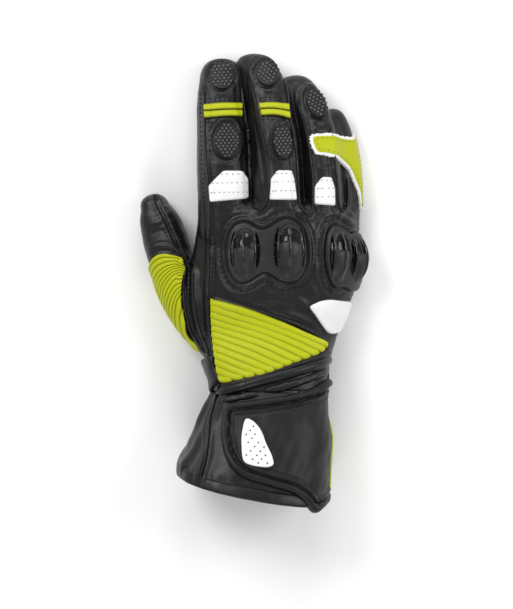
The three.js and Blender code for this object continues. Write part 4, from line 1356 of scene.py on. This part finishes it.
# Lines between the thumb's ribs, each with its number, from the web's edge over the thumb and round
# its far side
THUMB_GUIDES = [
    (0, [
        (-44, 13.4), (-47, 15.7), (-50.9, 17.5), (-56.6, 18.7),
        (-61.3, 17.8), (-64.6, 14.5), (-65, 10, 2), (-64, 4, 6),
    ]),
    (3, [
        (-45.3, 10), (-48, 11.3), (-51.3, 12.1), (-56.6, 10.2),
        (-60.4, 6.9), (-62, 2.1), (-62, -3, 2), (-60, -9, 6),
    ]),
    (7, [
        (-46.4, 5), (-48.2, 5.2), (-49.5, 6.4), (-53.7, 2.6),
        (-56.6, -3.1), (-57.2, -8.7), (-57, -14, 2), (-54, -20, 6),
    ]),
    (10, [
        (-46.9, -1.6), (-48.7, -3.4), (-50.9, -5.9), (-52.8, -11),
        (-53.2, -16), (-52.4, -20.5), (-51, -25, 2), (-48, -30, 6),
    ]),
    (12, [
        (-46.9, -6.9), (-48.6, -10), (-49.6, -14.5), (-49.9, -19),
        (-49.2, -23.6), (-48, -27), (-46, -31, 2), (-43, -35, 6),
    ]),
    (13, [
        (-46, -15.4), (-46.6, -18), (-46.8, -21.4), (-46.2, -25),
        (-45, -28.6), (-43.6, -31.4), (-42, -35, 2), (-39, -38, 6),
    ]),
    (14, [
        (-43.9, -23.4), (-43.6, -25.8), (-43, -28.6), (-41.8, -31.4),
        (-40, -34.2), (-38.2, -36.4), (-36, -39, 2), (-34, -42, 5),
    ]),
]


def thumb_ribs(drape):
    """The ribbed lime panel whose ribs fan out from the web and curl round the thumb's side."""
    keys = np.array([k for k, _ in THUMB_GUIDES]) / THUMB_RIBS
    guides = np.array([smooth_line(drape.from_plan(drape.thumb, g), 60) for _, g in THUMB_GUIDES])

    def point_at(u, v, f):
        at = np.stack([along_line(g, u) for g in guides])
        k = np.clip(np.searchsorted(keys, v, side="right") - 1, 0, len(keys) - 2)
        s = (v - keys[k]) / (keys[k + 1] - keys[k])
        cells = np.arange(len(u))
        four = (at[np.clip(k + step, 0, len(keys) - 1), cells] for step in (-1, 0, 1, 2))
        return between(*four, s[:, None])

    return rib_sheet(
        drape.thumb, point_at, THUMB_RIBS, 150, 0.5, 1.6, (0, 0.04), per_rib=10, lift=0.3, dark=0.4
    )


def stretch_band(drape, low, high):
    """Two lime ribs across a finger."""
    low, high = (smooth_line(edge, 50) for edge in (low, high))

    def point_at(u, v, f):
        a, b = along_line(low, u), along_line(high, u)
        return a + (b - a) * v[:, None]

    return rib_sheet(drape.top, point_at, 2, 44, 0.6, 2.0, (0.03, 0.03))


def root_panel(drape, outline):
    """A white panel over a finger's root, with rolled edges and a gently raised middle."""

    def height(inset, points, turn):
        crown = 0.35 * ramp(inset, 1, 6)
        return SEAT + rolled(inset, PANEL, 1.3) + crown + 0.12 * noise_field(flat_points(points), 11, 51)

    line = rounded_corners(outline, 1.4, 140)
    return star_patch(line, np.mean(outline, axis=0), drape.top.seat, height, around=140)


def rounded_corners(outline, radius, count):
    """A straight-sided outline with rounded corners, as a number of close points."""
    p = anticlockwise(outline)
    made = []
    for before, here, after in zip(np.roll(p, 1, 0), p, np.roll(p, -1, 0)):
        a = here + unit(before - here) * radius
        b = here + unit(after - here) * radius
        for f in np.linspace(0, 1, 6):
            made.append((1 - f) ** 2 * a + 2 * f * (1 - f) * here + f**2 * b)
    return along_line(made + made[:1], np.linspace(0, 1, count, endpoint=False))


def leaning(centre, x, y, lean):
    """Plan points at x and y from a centre, on axes that lean by some degrees."""
    c, s = math.cos(math.radians(lean)), math.sin(math.radians(lean))
    return np.stack([centre[0] + x * c - y * s, centre[1] + x * s + y * c], -1)


def oval(centre, half, lean, count, grow=0.0):
    a = np.arange(count) / count * 2 * math.pi
    return leaning(centre, (half[0] + grow) * np.cos(a), (half[1] + grow) * np.sin(a), lean)


def grip_pad(drape, centre, half, lean):
    """A rubber pad with a raised rim and a slightly sunken field for its dots."""

    def height(inset, points, turn):
        return SEAT + rolled(inset, 1.4, 0.8) - 0.3 * ramp(inset, 0.8, 1.4)

    return star_patch(oval(centre, half, lean, 120), centre, drape.top.seat, height, around=120, rings=12)


DOT_PITCH = (2.5, 1.85)  # mm, along a row of dots and from row to row


def pad_dots(drape, centre, half, lean):
    """Hexagonally packed glossy dots on a pad."""
    placements = []
    for i in range(-9, 10):
        for j in range(-12, 13):
            x, y = DOT_PITCH[0] * (i + j % 2 / 2), DOT_PITCH[1] * j
            if (x / (half[0] - 1.0)) ** 2 + (y / (half[1] - 1.0)) ** 2 > 1:
                continue
            place, normal = drape.top.seat(leaning(centre, np.array([x]), np.array([y]), lean))
            placements.append(bump_at(place[0] + normal[0] * 1.3, normal[0], 1.0, 1.0))
    return repeated(placements)


def bump_at(place, normal, radius, rise):
    """A round bump: a place and its three half axes."""
    side = unit(np.cross(normal, [0, 1.0, 0.01]))
    ahead = np.cross(normal, side)
    return place, side * radius, ahead * radius, normal * rise


BRIDGE = [
    (33.4, 91.4), (43.1, 93), (52, 91.4), (59, 91), (62, 93), (64, 90, 3), (65, 84, 5), (65, 74, 5.5),
    (65, 64, 5.5), (65, 55, 5), (65, 48, 2.5), (64.4, 46.6), (62.9, 56.4), (60, 63.3), (55, 72.2),
    (50.1, 77.6), (43.4, 79.6), (36.3, 81.2),
]
BRIDGE_CENTRE = (57, 84)
BRIDGE_SPAN = 14.0  # mm, half the widest hollow between the fingers that the patch hangs over


def bridge(drape, spanning, grow, rise, fray=0.0):
    """The patch that ties the ring finger to the little finger, grown past its outline."""
    line = smooth_line(anticlockwise(drape.from_plan(drape.right, BRIDGE)), 260, closed=True)
    jitter = np.random.default_rng(5).uniform(-fray, fray, len(line))
    line = line + outward(line) * (grow + jitter)[:, None]
    centre = drape.from_plan(drape.right, [BRIDGE_CENTRE])[0]

    def height(inset, points, turn):
        swell = 0.25 * noise_field(flat_points(points), 17, 61)
        return rise + rolled(inset, 0.9, 0.8) + swell * ramp(inset, 1, 4)

    return star_patch(line, centre, spanning.seat, height, around=260, rings=30)


SIDE_PATCH = [
    (33.2, -14.5), (36.4, -12.1), (40.1, -10.6), (45.4, -9.8), (52, -10.4), (60, -11.6, 2), (62, -14.5, 4),
    (62, -19, 4.4), (58, -25, 3.2), (53, -28.6, 2), (48, -30.8), (44.2, -30), (40.6, -25.6), (36.6, -19.6),
]
SIDE_PATCH_CENTRE = (47, -19.5)


def side_patch(drape):
    """The padded white patch, puckered along its seam."""
    outline = drape.from_plan(drape.right, SIDE_PATCH)
    centre = drape.from_plan(drape.right, [SIDE_PATCH_CENTRE])[0]

    def height(inset, points, turn):
        puckers = 0.14 * np.sin(turn * 2 * math.pi * 34) * bell(inset - 1.2, 0.9)
        return SEAT + rolled(inset, 1.3, 2.2) + 0.5 * ramp(inset, 2, 8) + puckers

    return star_patch(outline, centre, drape.right.seat, height, around=220, rings=22)


class Raised:
    """A chart whose surface is lifted by a panel that already lies on it."""

    def __init__(self, chart, lift):
        self.chart, self.lift = chart, lift

    def seat(self, points):
        place, normal = self.chart.seat(points)
        return place + normal * self.lift, normal


def vent_patch(drape, surround=False):
    """The white window in the flap, or the low black border round it."""
    line = smooth_line(anticlockwise(drape.from_plan(drape.right, VENT)), 150, closed=True)
    line = line + outward(line) * (1.5 if surround else 0)
    centre = drape.from_plan(drape.right, [VENT_CENTRE])[0]

    def height(inset, points, turn):
        return rolled(inset, 0.8, 0.7) + (-0.5 if surround else 0.2 * ramp(inset, 1, 5))

    return star_patch(line, centre, Raised(drape.right, 1.9).seat, height, around=150)


def vent_holes(drape):
    """The hexagonal perforation of the vent."""
    outline = anticlockwise(smooth_line(drape.from_plan(drape.right, VENT), 120, closed=True))
    chart = Raised(drape.right, 3.0)
    placements = []
    low = outline.min(axis=0)
    for i in range(8):
        for j in range(16):
            spot = np.array([[low[0] + i * 4.4 + (j % 2) * 2.2, low[1] + j * 2.5]])
            d, _, side = distance_to(spot, outline, closed=True)
            if side[0] < 0 or d[0] < 1.5:
                continue
            place, normal = chart.seat(spot)
            # Each hole is a dark bead on the white leather: the black leather beneath, with painted shade.
            placements.append(bump_at(place[0] + normal[0] * 0.02, normal[0], 0.52, 0.16))
    return repeated(placements)


def side_panel(drape):
    """The lime panel on the flap's far side."""
    outline = drape.from_plan(drape.right, SIDE_PANEL)
    height = lambda inset, points, turn: rolled(inset, 0.9, 0.8)
    seat = Raised(drape.right, 1.7).seat
    return star_patch(outline, np.mean(outline, axis=0), seat, height, around=180, rings=18)


def column_patch(outline, chart, height, paint, across=170, along=150, wall=1.4):
    """A closed patch drawn column by column between the lower and upper edges of its outline.
    paint(points) gives its tint."""
    line = smooth_line(anticlockwise(outline), 400, closed=True)
    left, right = int(np.argmin(line[:, 0])), int(np.argmax(line[:, 0]))
    lower = np.array([line[(left + k) % 400] for k in range((right - left) % 400 + 1)])
    upper = np.array([line[(left - k) % 400] for k in range((left - right) % 400 + 1)])
    coarse = line[::3]

    def points_at(u, v):
        x = line[left, 0] + (line[right, 0] - line[left, 0]) * (1 - np.cos(math.pi * u)) / 2
        y0 = np.interp(x, np.maximum.accumulate(lower[:, 0]), lower[:, 1])
        y1 = np.interp(x, np.maximum.accumulate(upper[:, 0]), upper[:, 1])
        f = (1 - np.cos(math.pi * v)) / 2 * 0.35 + v * 0.65
        return np.stack([x, y0 + (y1 - y0) * f], -1)

    def place(u, v):
        points = points_at(u, v)
        inset = distance_to(points, coarse, closed=True)[0]
        inset = np.where((u < 1e-6) | (u > 1 - 1e-6) | (v < 1e-6) | (v > 1 - 1e-6), 0, inset)
        places, normals = chart.seat(points)
        return places + normals * height(points, inset)[:, None]

    return bent_sheet(across, along, place, wall, lambda u, v: paint(points_at(u, v)))


PLATE = 2.3  # mm, how far a guard's plate stands above the leather


class Dome:
    """One knuckle dome of a guard, in chart millimetres, with its vents and fins."""

    def __init__(self, chart, centre, half, top, arch):
        self.centre, self.half, self.arch = np.array(centre, float), np.array(half, float), arch
        self.rise = top - chart.read(chart.heights, self.centre[None])[0] - PLATE

    def shares(self, points):
        """How far across and along the dome points lie, from -1 to 1."""
        return ((points - self.centre) / self.half).T

    def swell(self, points):
        a, b = self.shares(points)
        return self.rise * np.clip(1 - a**2 - b**2, 0, 1) ** (0.62 + 0.7 * ramp(-b, 0, 0.9))

    def vents(self, points):
        """How much of a sunk, glossy vent or slot there is at each point."""
        a, b = self.shares(points)
        roof = 0.86 * np.sqrt(np.clip(1 - (a / 0.86) ** 2, 0, 1))
        floor = self.arch - 0.3 * a**2
        mouth = ramp(roof - b, 0, 0.05) * ramp(b - floor, 0, 0.04) * ramp(0.66 - np.abs(a), 0, 0.05)
        half = 0.11 * np.sqrt(np.clip(1 - ((b - 0.12) / 0.72) ** 2, 0, 1))
        slot = ramp(half - np.abs(np.abs(a) - 0.9 + 0.24 * b**2), 0, 0.03)
        return np.maximum(mouth, slot)

    def fins(self):
        """The lines of the three fins over the dome, as chart points with their heights."""
        for side in (-1, 0, 1):
            b = np.linspace(0.93, -0.9, 44)
            a = side * (0.79 - 0.24 * b**2)
            points = self.centre + np.stack([a, b], -1) * self.half
            yield points, self.swell(points) + PLATE - 0.2


class Guard:
    """A moulded knuckle guard on one chart: a plate with two domes."""

    def __init__(self, chart, outline, domes):
        self.chart, self.outline = chart, outline
        self.domes = [Dome(chart, *dome) for dome in domes]

    def vents(self, points):
        return np.max([dome.vents(points) for dome in self.domes], axis=0)

    def height(self, points, inset):
        swell = np.max([dome.swell(points) for dome in self.domes], axis=0)
        return rolled(inset, PLATE, 1.5) + swell * ramp(inset, 0, 2.2) - 1.3 * self.vents(points)

    def shell(self):
        return column_patch(self.outline, self.chart, self.height, self.vents)

    def fins(self):
        parts = []
        for dome in self.domes:
            for points, heights in dome.fins():
                places, normals = self.chart.seat(points)
                places = places + normals * heights[:, None]
                wave = lambda share: 0.25 + 0.75 * np.sin(math.pi * np.clip(share, 0, 1)) ** 0.7
                parts.append(bead(places, normals, 1.5, 1.25, 10, 0.06, wave))
        return joined(parts)


def make_guards(drape):
    """The two guards. A dome has its centre, half sizes, top and the share where its vent's arch starts."""
    first = Guard(drape.top, GUARD_INDEX_MIDDLE, [
        ((-6.7, 19.2), (8.9, 15.2), 56.0, 0.22),
        ((20.2, 20.6), (9.3, 16.8), 59.0, 0.3),
    ])
    second = Guard(drape.right, drape.from_plan(drape.right, GUARD_RING_LITTLE), [
        ((13.8, 17.2), (7.8, 16.2), 67.5, 0.2),
        ((30.6, 15.4), (7.6, 15), 66.0, 0.2),
    ])
    return first, second


def wrist_strap():
    """The woven strap that runs round the palm side of the wrist from the keeper to the flap."""

    def place(u, v):
        y = -63 + 15 * v
        t = np.interp(y, HAND.rows[:, 0], np.arange(len(HAND.rows)))
        return sleeve_point(HAND, t, np.radians(188 + 164 * u), 2.0)

    return bent_sheet(160, 14, place, 1.5)


KEEPER = [
    (-34.6, -47.6), (-27.4, -43.8), (-24.2, -52), (-21.6, -60.2), (-27.2, -65), (-33.4, -66, 2),
    (-35.4, -56, 3),
]


def strap_keeper(drape):
    """The leather tab that the strap comes out of."""
    outline = drape.from_plan(drape.left, KEEPER)

    def height(inset, points, turn):
        return 0.6 + rolled(inset, 2.6, 1.6) + 0.2 * noise_field(flat_points(points), 9, 71)

    return star_patch(outline, outline.mean(axis=0), drape.left.seat, height, around=140)


def seat_both(drape, points):
    """Plan points on the skin, read from above on the thumb side and from the right beyond it."""
    plan = points[:, :2]
    above = drape.top.seat(plan)
    beside = drape.right.seat(drape.from_plan(drape.right, points))
    share = ramp(plan[:, 0], 6, 18)[:, None]
    return (a * (1 - share) + b * share for a, b in zip(above, beside))


ROLL_ABOVE = [
    (-25, -67.8), (-19.5, -66.1), (0.3, -60.6), (20.2, -55.4), (36.1, -50.6), (43, -48), (47, -47, 1),
    (47, -46.6, 5), (47, -46.6, 9),
]
ROLL_BELOW = [
    (-22, -72), (-9.6, -69.8), (10.2, -65.4), (25.1, -61.2), (37, -56.8), (41, -55), (47, -54, 1),
    (47, -53.6, 6), (47, -53.6, 11),
]
# Each roll's line, its width, its height and how strongly it is gathered
ROLLS = ((ROLL_ABOVE, 6.8, 3.0, 0.02), (ROLL_BELOW, 5.2, 1.9, 0.05))


def wrist_rolls(drape):
    """The padded roll under the triangle and the gathered one that meets the cuff."""
    parts = []
    for line, width, height, gathers in ROLLS:
        fine = smooth_line(with_past(line), 150)
        places, normals = (eased(values, 50) for values in seat_both(drape, fine))

        def wave(share):
            ripple = np.sin(share * 60 + 3 * np.sin(share * 9)) + np.sin(share * 17)
            return 1 + gathers * ripple - 0.35 * ramp(share, 0.75, 1)

        parts.append(bead(places, normals, width, height, 20, 0.05, wave))
    return joined(parts)


def piped_seam(drape, line, width=1.7, height=1.2):
    """A narrow rolled edge along a seam."""
    places, normals = seated_line(drape.top, line, 130, 0.3)
    ripple = lambda share: 1 + 0.07 * np.sin(share * 190)
    return bead(places, normals, width, height, 8, 0.03, ripple)


FOOT_LINE = [
    (-22.6, -61.4), (-18.4, -60.8), (-7.4, -58.1), (3.7, -55.4), (14.8, -51.6), (23.6, -48.3), (33, -44.9),
    (39.6, -42), (43.4, -38.4),
]
# Each band's line, how far it lies outside it, its width and its height
EDGE_BANDS = (
    (TRIANGLE_TOP[::-1], 1.5, 3.4, 1.1),
    (FOOT_LINE, 1.5, 3.4, 1.2),
    (TRIANGLE_LEFT, 1.1, 2.6, 1.3),
)


def edge_bands(drape):
    """Flat leather bands that bind the triangle's edges."""
    parts = []
    for line, offset, width, height in EDGE_BANDS:
        fine = smooth_line(line, 120)
        places, normals = seated_line(drape.top, fine + outward(fine, closed=False) * offset, 120, 0.2)
        parts.append(bead(places, normals, width, height, 12, 0.02))
    return joined(parts)


def across_finger(low, high, share, offset):
    """A row across a finger, an offset away from the lower (0) or upper (1) edge of its band."""
    low, high = np.array(low, float), np.array(high, float)
    return low + (high - low) * share + np.array([0, offset])


def stitching(drape):
    """All the thread that shows on the hand."""
    top, right = drape.top, drape.right
    rows = []
    for offset in (3.5, 5.2):
        rows += stitch_row(top, guard_outlines()[0], offset, closed=True)
    right_guard = anticlockwise(drape.from_plan(right, GUARD_RING_LITTLE))
    for offset in (3.0, 4.6):
        rows += stitch_row(right, right_guard, offset, closed=True)
    rows += stitch_row(top, TRIANGLE_TOP[::-1], 5.0)
    rows += stitch_row(top, TRIANGLE_TOP[::-1], 1.6, lift=1.35)
    rows += stitch_row(top, FOOT_LINE, 1.9, lift=1.45)
    rows += stitch_row(top, TRIANGLE_LEFT, 3.8)
    for offset in (-2.6, 2.6):
        rows += stitch_row(top, SEAMS["index_outer"], offset)
    rows += stitch_row(top, WEB_SEAMS["web_outer"], -2.6)
    rows += stitch_row(top, WEB_SEAMS["web_inner"], 1.6)
    for low, high in STRETCH_BANDS.values():
        for share, offset in ((0, -2.2), (1, 1.8), (1, 3.4)):
            rows += stitch_row(top, across_finger(low, high, share, offset))
    for outline in ROOT_PANELS.values():
        p = np.array(outline)
        for line in (p[:2] + [0, 1.6], p[:2] + [0, 3.2], p[[4, 3]] - [0, 1.6], p[[4, 3]] - [0, 3.2]):
            rows += stitch_row(top, line)
    for centre, half, lean in GRIP_PADS.values():
        rows += stitch_row(top, oval(centre, half, lean, 60, 1.6), closed=True)
    rows += stitch_row(right, drape.from_plan(right, SIDE_PATCH)[::-1], 1.6, closed=True)
    return repeated(rows)


def cuff_stitching(drape):
    """The thread inside the flap's rim, and along the upper half of the hem."""
    outline = smooth_line(anticlockwise(drape.from_plan(drape.right, FLAP)), 200, closed=True)
    rows = stitch_row(drape.right, outline, -5.6, closed=True, lift=1.75)
    hem = []
    t = HEM_END - 0.62
    for turn in np.linspace(0.02, 0.52, 130):
        point = cuff_place(np.array([turn]), t)[0]
        away = unit(cuff_place(np.array([turn]), t, 1.0)[0] - point)
        ahead = unit(cuff_place(np.array([turn + 0.002]), t)[0] - point)
        side = np.cross(away, ahead)
        hem.append((point + away * 0.5, ahead * STITCH / 2, side * THREAD, away * THREAD))
    return repeated(rows + hem)


def bridge_stitching(drape, spanning):
    outline = smooth_line(anticlockwise(drape.from_plan(drape.right, BRIDGE)), 200, closed=True)
    return repeated(stitch_row(spanning, outline, -3.0, closed=True, lift=1.9, thread=0.26))


def root_holes(drape):
    """Three rows of small slits across each white root panel."""
    placements = []
    for outline in ROOT_PANELS.values():
        p = np.array(outline)
        low, high = p[:, 1].min(), p[:, 1].max()
        for share in (0.3, 0.6, 0.88):
            y = low + (high - low) * share
            edges = []
            for a, b in zip(p, np.roll(p, -1, 0)):
                if min(a[1], b[1]) <= y <= max(a[1], b[1]) and a[1] != b[1]:
                    edges.append(a[0] + (b[0] - a[0]) * (y - a[1]) / (b[1] - a[1]))
            x0, x1 = min(edges) + 1.4, max(edges) - 1.4
            for x in np.linspace(x0, x1, max(int((x1 - x0) / 2.6), 2) + 1):
                place, normal = drape.top.seat(np.array([[x, y + 0.02 * (x - x0)]]))
                # Each slit is a grey bead on the white leather, painted shade in the pricked hole.
                spot, side, ahead, rise = bump_at(place[0] + normal[0] * 1.93, normal[0], 0.3, 0.14)
                placements.append((spot, side * 2.2, ahead, rise))
    return repeated(placements)


class Workshop:
    """What several operators share: the leather, the charts of it and the finishes."""

    def __init__(self, look):
        self.look = look
        self.finishes = Finishes(look)
        self.skin = leather_skin()
        self.cuff = gauntlet()
        self.cuff.verts.ensure_lookup_table()
        # The cuff's surface, run on past its mouth, so that the flap's corner has something to lie on
        beyond = bent_sheet(120, 16, lambda u, v: cuff_place(u, CUFF_END) - stacked(0, 18 * v, 0))
        cuff_mesh, beyond_mesh = (
            ([v.co.copy() for v in bm.verts], [[v.index for v in f.verts] for f in bm.faces])
            for bm in (self.cuff, beyond)
        )
        self.drape = Drape((self.skin.co, self.skin.quads), cuff_mesh, beyond_mesh)
        self.spanning = self.drape.right.spanning(BRIDGE_SPAN)


workshop = {}


def shop():
    """The one workshop, made when it is first asked for."""
    if "now" not in workshop:
        workshop["now"] = Workshop(bpy.context.scene.glove_look)
    return workshop["now"]


# The add-on


def tone_setting(name, default):
    return StringProperty(name=name, description=f"{name} tone, as sRGB hex", default=default)


class GloveLook(PropertyGroup):
    """The colours and the stage's settings"""

    leather_dark: tone_setting("Leather, dark", "#0a0a0a")
    leather_light: tone_setting("Leather, light", "#111111")
    flap_dark: tone_setting("Flap, dark", "#0e0e0e")
    flap_light: tone_setting("Flap, light", "#131313")
    lime_dark: tone_setting("Lime, dark", "#a6ad02")
    lime_light: tone_setting("Lime, light", "#b0b708")
    guard_dark: tone_setting("Guard, dark", "#1d1d1d")
    guard_light: tone_setting("Guard, light", "#222222")
    lens: FloatProperty(
        name="Lens", description="Focal length of the camera", default=800.0, min=50.0, unit="CAMERA"
    )
    brightness: FloatProperty(name="Brightness", description="Power of all the lamps", default=1.0, min=0.0)


# The nodes that each piece of the skin replaces
LEATHER_REGIONS = {
    "hand_back": ("hand_back",),
    "hand_palm": ("hand_palm", "hand_heel"),
    "index_finger": ("index_finger",),
    "middle_finger": ("middle_finger",),
    "ring_finger": ("ring_finger",),
    "little_finger": ("little_finger",),
    "thumb": ("thumb",),
}


class GLOVE_OT_leather(Operator):
    """Builds the hand, fingers and thumb"""

    bl_idname = "glove.leather"
    bl_label = "Leather"

    def execute(self, context):
        it = shop()
        owner = region_of(it.skin)
        for region, replaced in LEATHER_REGIONS.items():
            piece = leather_piece(it.skin, owner == region)
            finished(f"{region}_leather", piece, it.finishes.leather, replaced)
        return {"FINISHED"}


class GLOVE_OT_cuff(Operator):
    """Builds the cuff, its hem and its closing flap"""

    bl_idname = "glove.cuff"
    bl_label = "Cuff"

    def execute(self, context):
        it = shop()
        f, drape = it.finishes, it.drape
        finished("cuff_leather", it.cuff, f.leather, ["gauntlet"])
        finished("hem_roll", hem_roll(), f.leather, ["hem_binding"])
        nodes = ["cuff_flap", "cuff_flap_edge"]
        finished("flap_leather", cuff_flap(drape), f.smooth, nodes)
        finished("vent_surround", vent_patch(drape, surround=True), f.smooth)
        finished("vent_leather", vent_patch(drape), f.white, ["cuff_vent_patch"])
        finished("vent_holes", vent_holes(drape), f.hole)
        finished("side_leather", side_panel(drape), f.lime, ["cuff_side_panel"])
        finished("wrist_rolls", wrist_rolls(drape), f.leather)
        finished("strap_webbing", wrist_strap(), f.webbing, ["wrist_strap"])
        finished("keeper_leather", strap_keeper(drape), f.leather, ["strap_keeper"])
        finished("cuff_thread", cuff_stitching(drape), f.thread)
        return {"FINISHED"}


class GLOVE_OT_guards(Operator):
    """Builds the moulded knuckle guards"""

    bl_idname = "glove.guards"
    bl_label = "Guards"

    def execute(self, context):
        it = shop()
        names = ("knuckle_guard_index_middle", "knuckle_guard_ring_little")
        for name, guard in zip(names, make_guards(it.drape)):
            finished(f"{name}_shell", guard.shell(), it.finishes.shell, [name], sharp=70)
            finished(f"{name}_fins", guard.fins(), it.finishes.gloss)
        return {"FINISHED"}


class GLOVE_OT_panels(Operator):
    """Builds the ribs, bands, pads, patches and outside seams"""

    bl_idname = "glove.panels"
    bl_label = "Panels"

    def execute(self, context):
        it = shop()
        f, drape = it.finishes, it.drape
        finished("back_ribs", back_ribs(drape), f.lime, ["back_stretch_panel"])
        finished("thumb_ribs", thumb_ribs(drape), f.lime, ["thumb_stretch_panel"])
        finished("edge_bands", edge_bands(drape), f.leather)
        for name, (low, high) in STRETCH_BANDS.items():
            finished(f"{name}_ribs", stretch_band(drape, low, high), f.lime, [name])
        for name, outline in ROOT_PANELS.items():
            finished(f"{name}_leather", root_panel(drape, outline), f.white, [name])
        finished("root_holes", root_holes(drape), f.pricked)
        for name, (centre, half, lean) in GRIP_PADS.items():
            finished(f"{name}_rubber", grip_pad(drape, centre, half, lean), f.rubber, [name])
            finished(f"{name}_dots", pad_dots(drape, centre, half, lean), f.dots)
        cloth, leather = bridge(drape, it.spanning, 0.3, 0.5, fray=0.4), bridge(drape, it.spanning, -1.4, 1.0)
        finished("bridge_cloth", cloth, f.fleece, ["bridge_border"])
        finished("bridge_leather", leather, f.lime, ["bridge_panel"])
        finished("bridge_thread", bridge_stitching(drape, it.spanning), f.lime_thread)
        finished("side_patch_leather", side_patch(drape), f.padded_white, ["side_patch"])
        for fork in ("index_middle", "middle_ring"):
            seam = piped_seam(drape, SEAMS[f"fork_{fork}"])
            finished(f"seam_{fork}_leather", seam, f.leather, [f"seam_{fork}"])
        lines = [SEAMS["index_outer"], SEAMS["fork_ring_little"], *WEB_SEAMS.values(), GUSSET]
        seams = joined([piped_seam(drape, line, 1.5, 1.0) for line in lines])
        finished("piped_seams", seams, f.leather)
        finished("hand_thread", stitching(drape), f.thread)
        return {"FINISHED"}


SKY_STRENGTH = 0.58
FLOOR_HALF = 4  # m
SENSOR = 36  # mm, width of the camera's sensor
AIM_HEIGHT = 30  # mm, height of the point that the scale is true at
# Each lamp's name, place in metres, size in metres and power in watts
LAMPS = [
    ("key", (-0.9, 0.9, 1.4), 0.9, 15),
    ("fill", (1.2, 0.3, 1.0), 0.8, 8),
    ("far", (0.1, 1.5, 0.8), 0.8, 8),
    ("near", (-0.1, -1.4, 1.1), 0.9, 6),
]


class GLOVE_OT_stage(Operator):
    """Adds the floor, the lamps and the camera"""

    bl_idname = "glove.stage"
    bl_label = "Stage"

    def execute(self, context):
        look = context.scene.glove_look
        scene = context.scene
        scene.view_settings.view_transform = "Standard"
        bm = bmesh.new()
        bmesh.ops.create_grid(bm, x_segments=1, y_segments=1, size=FLOOR_HALF)
        mesh = bpy.data.meshes.new("floor")
        bm.to_mesh(mesh)
        bm.free()
        mesh.materials.append(plastic_material("pale_floor", "#f6f6f6", "#f8f8f8", 0.9, depth=0.0))
        floor = bpy.data.objects.new("floor", mesh)
        scene.collection.objects.link(floor)
        for name, place, size, power in LAMPS:
            lamp = bpy.data.lights.new(name, "AREA")
            lamp.shape, lamp.size, lamp.energy = "DISK", size, power * look.brightness
            holder = bpy.data.objects.new(name, lamp)
            holder.location = place
            holder.rotation_euler = (Vector((0, 0, 0.02)) - Vector(place)).to_track_quat("-Z", "Y").to_euler()
            scene.collection.objects.link(holder)
        world = bpy.data.worlds.new("studio")
        world.use_nodes = True
        sky = world.node_tree.nodes["Background"].inputs
        sky["Color"].default_value, sky["Strength"].default_value = (1, 1, 1, 1), SKY_STRENGTH
        scene.world = world
        camera = bpy.data.cameras.new("camera")
        camera.sensor_fit, camera.sensor_width, camera.lens = "HORIZONTAL", SENSOR, look.lens
        camera.clip_start, camera.clip_end = 0.1, 20
        eye = bpy.data.objects.new("camera", camera)
        width = IMAGE_SIZE[0] * MM_PER_PIXEL
        below = (IMAGE_SIZE[1] / 2 - IMAGE_CENTRE[1]) * MM_PER_PIXEL
        target = Vector((0, -below, AIM_HEIGHT)) + PLAN_TO_FRAME
        eye.location = (target + Vector((0, 0, width * look.lens / SENSOR))) * MM
        scene.collection.objects.link(eye)
        scene.camera = eye
        return {"FINISHED"}


class GLOVE_PT_panel(Panel):
    """Lists the glove's settings and its steps"""

    bl_label = "Racing glove"
    bl_space_type = "VIEW_3D"
    bl_region_type = "UI"
    bl_category = "Glove"

    def draw(self, context):
        look = context.scene.glove_look
        for name in GloveLook.__annotations__:
            self.layout.prop(look, name)
        for operator in STEPS:
            self.layout.operator(operator.bl_idname)


STEPS = (GLOVE_OT_leather, GLOVE_OT_cuff, GLOVE_OT_guards, GLOVE_OT_panels, GLOVE_OT_stage)
CLASSES = (GloveLook, *STEPS, GLOVE_PT_panel)


def register():
    for cls in CLASSES:
        bpy.utils.register_class(cls)
    bpy.types.Scene.glove_look = PointerProperty(type=GloveLook)


def unregister():
    del bpy.types.Scene.glove_look
    for cls in reversed(CLASSES):
        bpy.utils.unregister_class(cls)


def main():
    register()
    bpy.ops.glove.leather()
    bpy.ops.glove.cuff()
    bpy.ops.glove.guards()
    bpy.ops.glove.panels()
    bpy.ops.glove.stage()


if __name__ == "__main__":
    main()
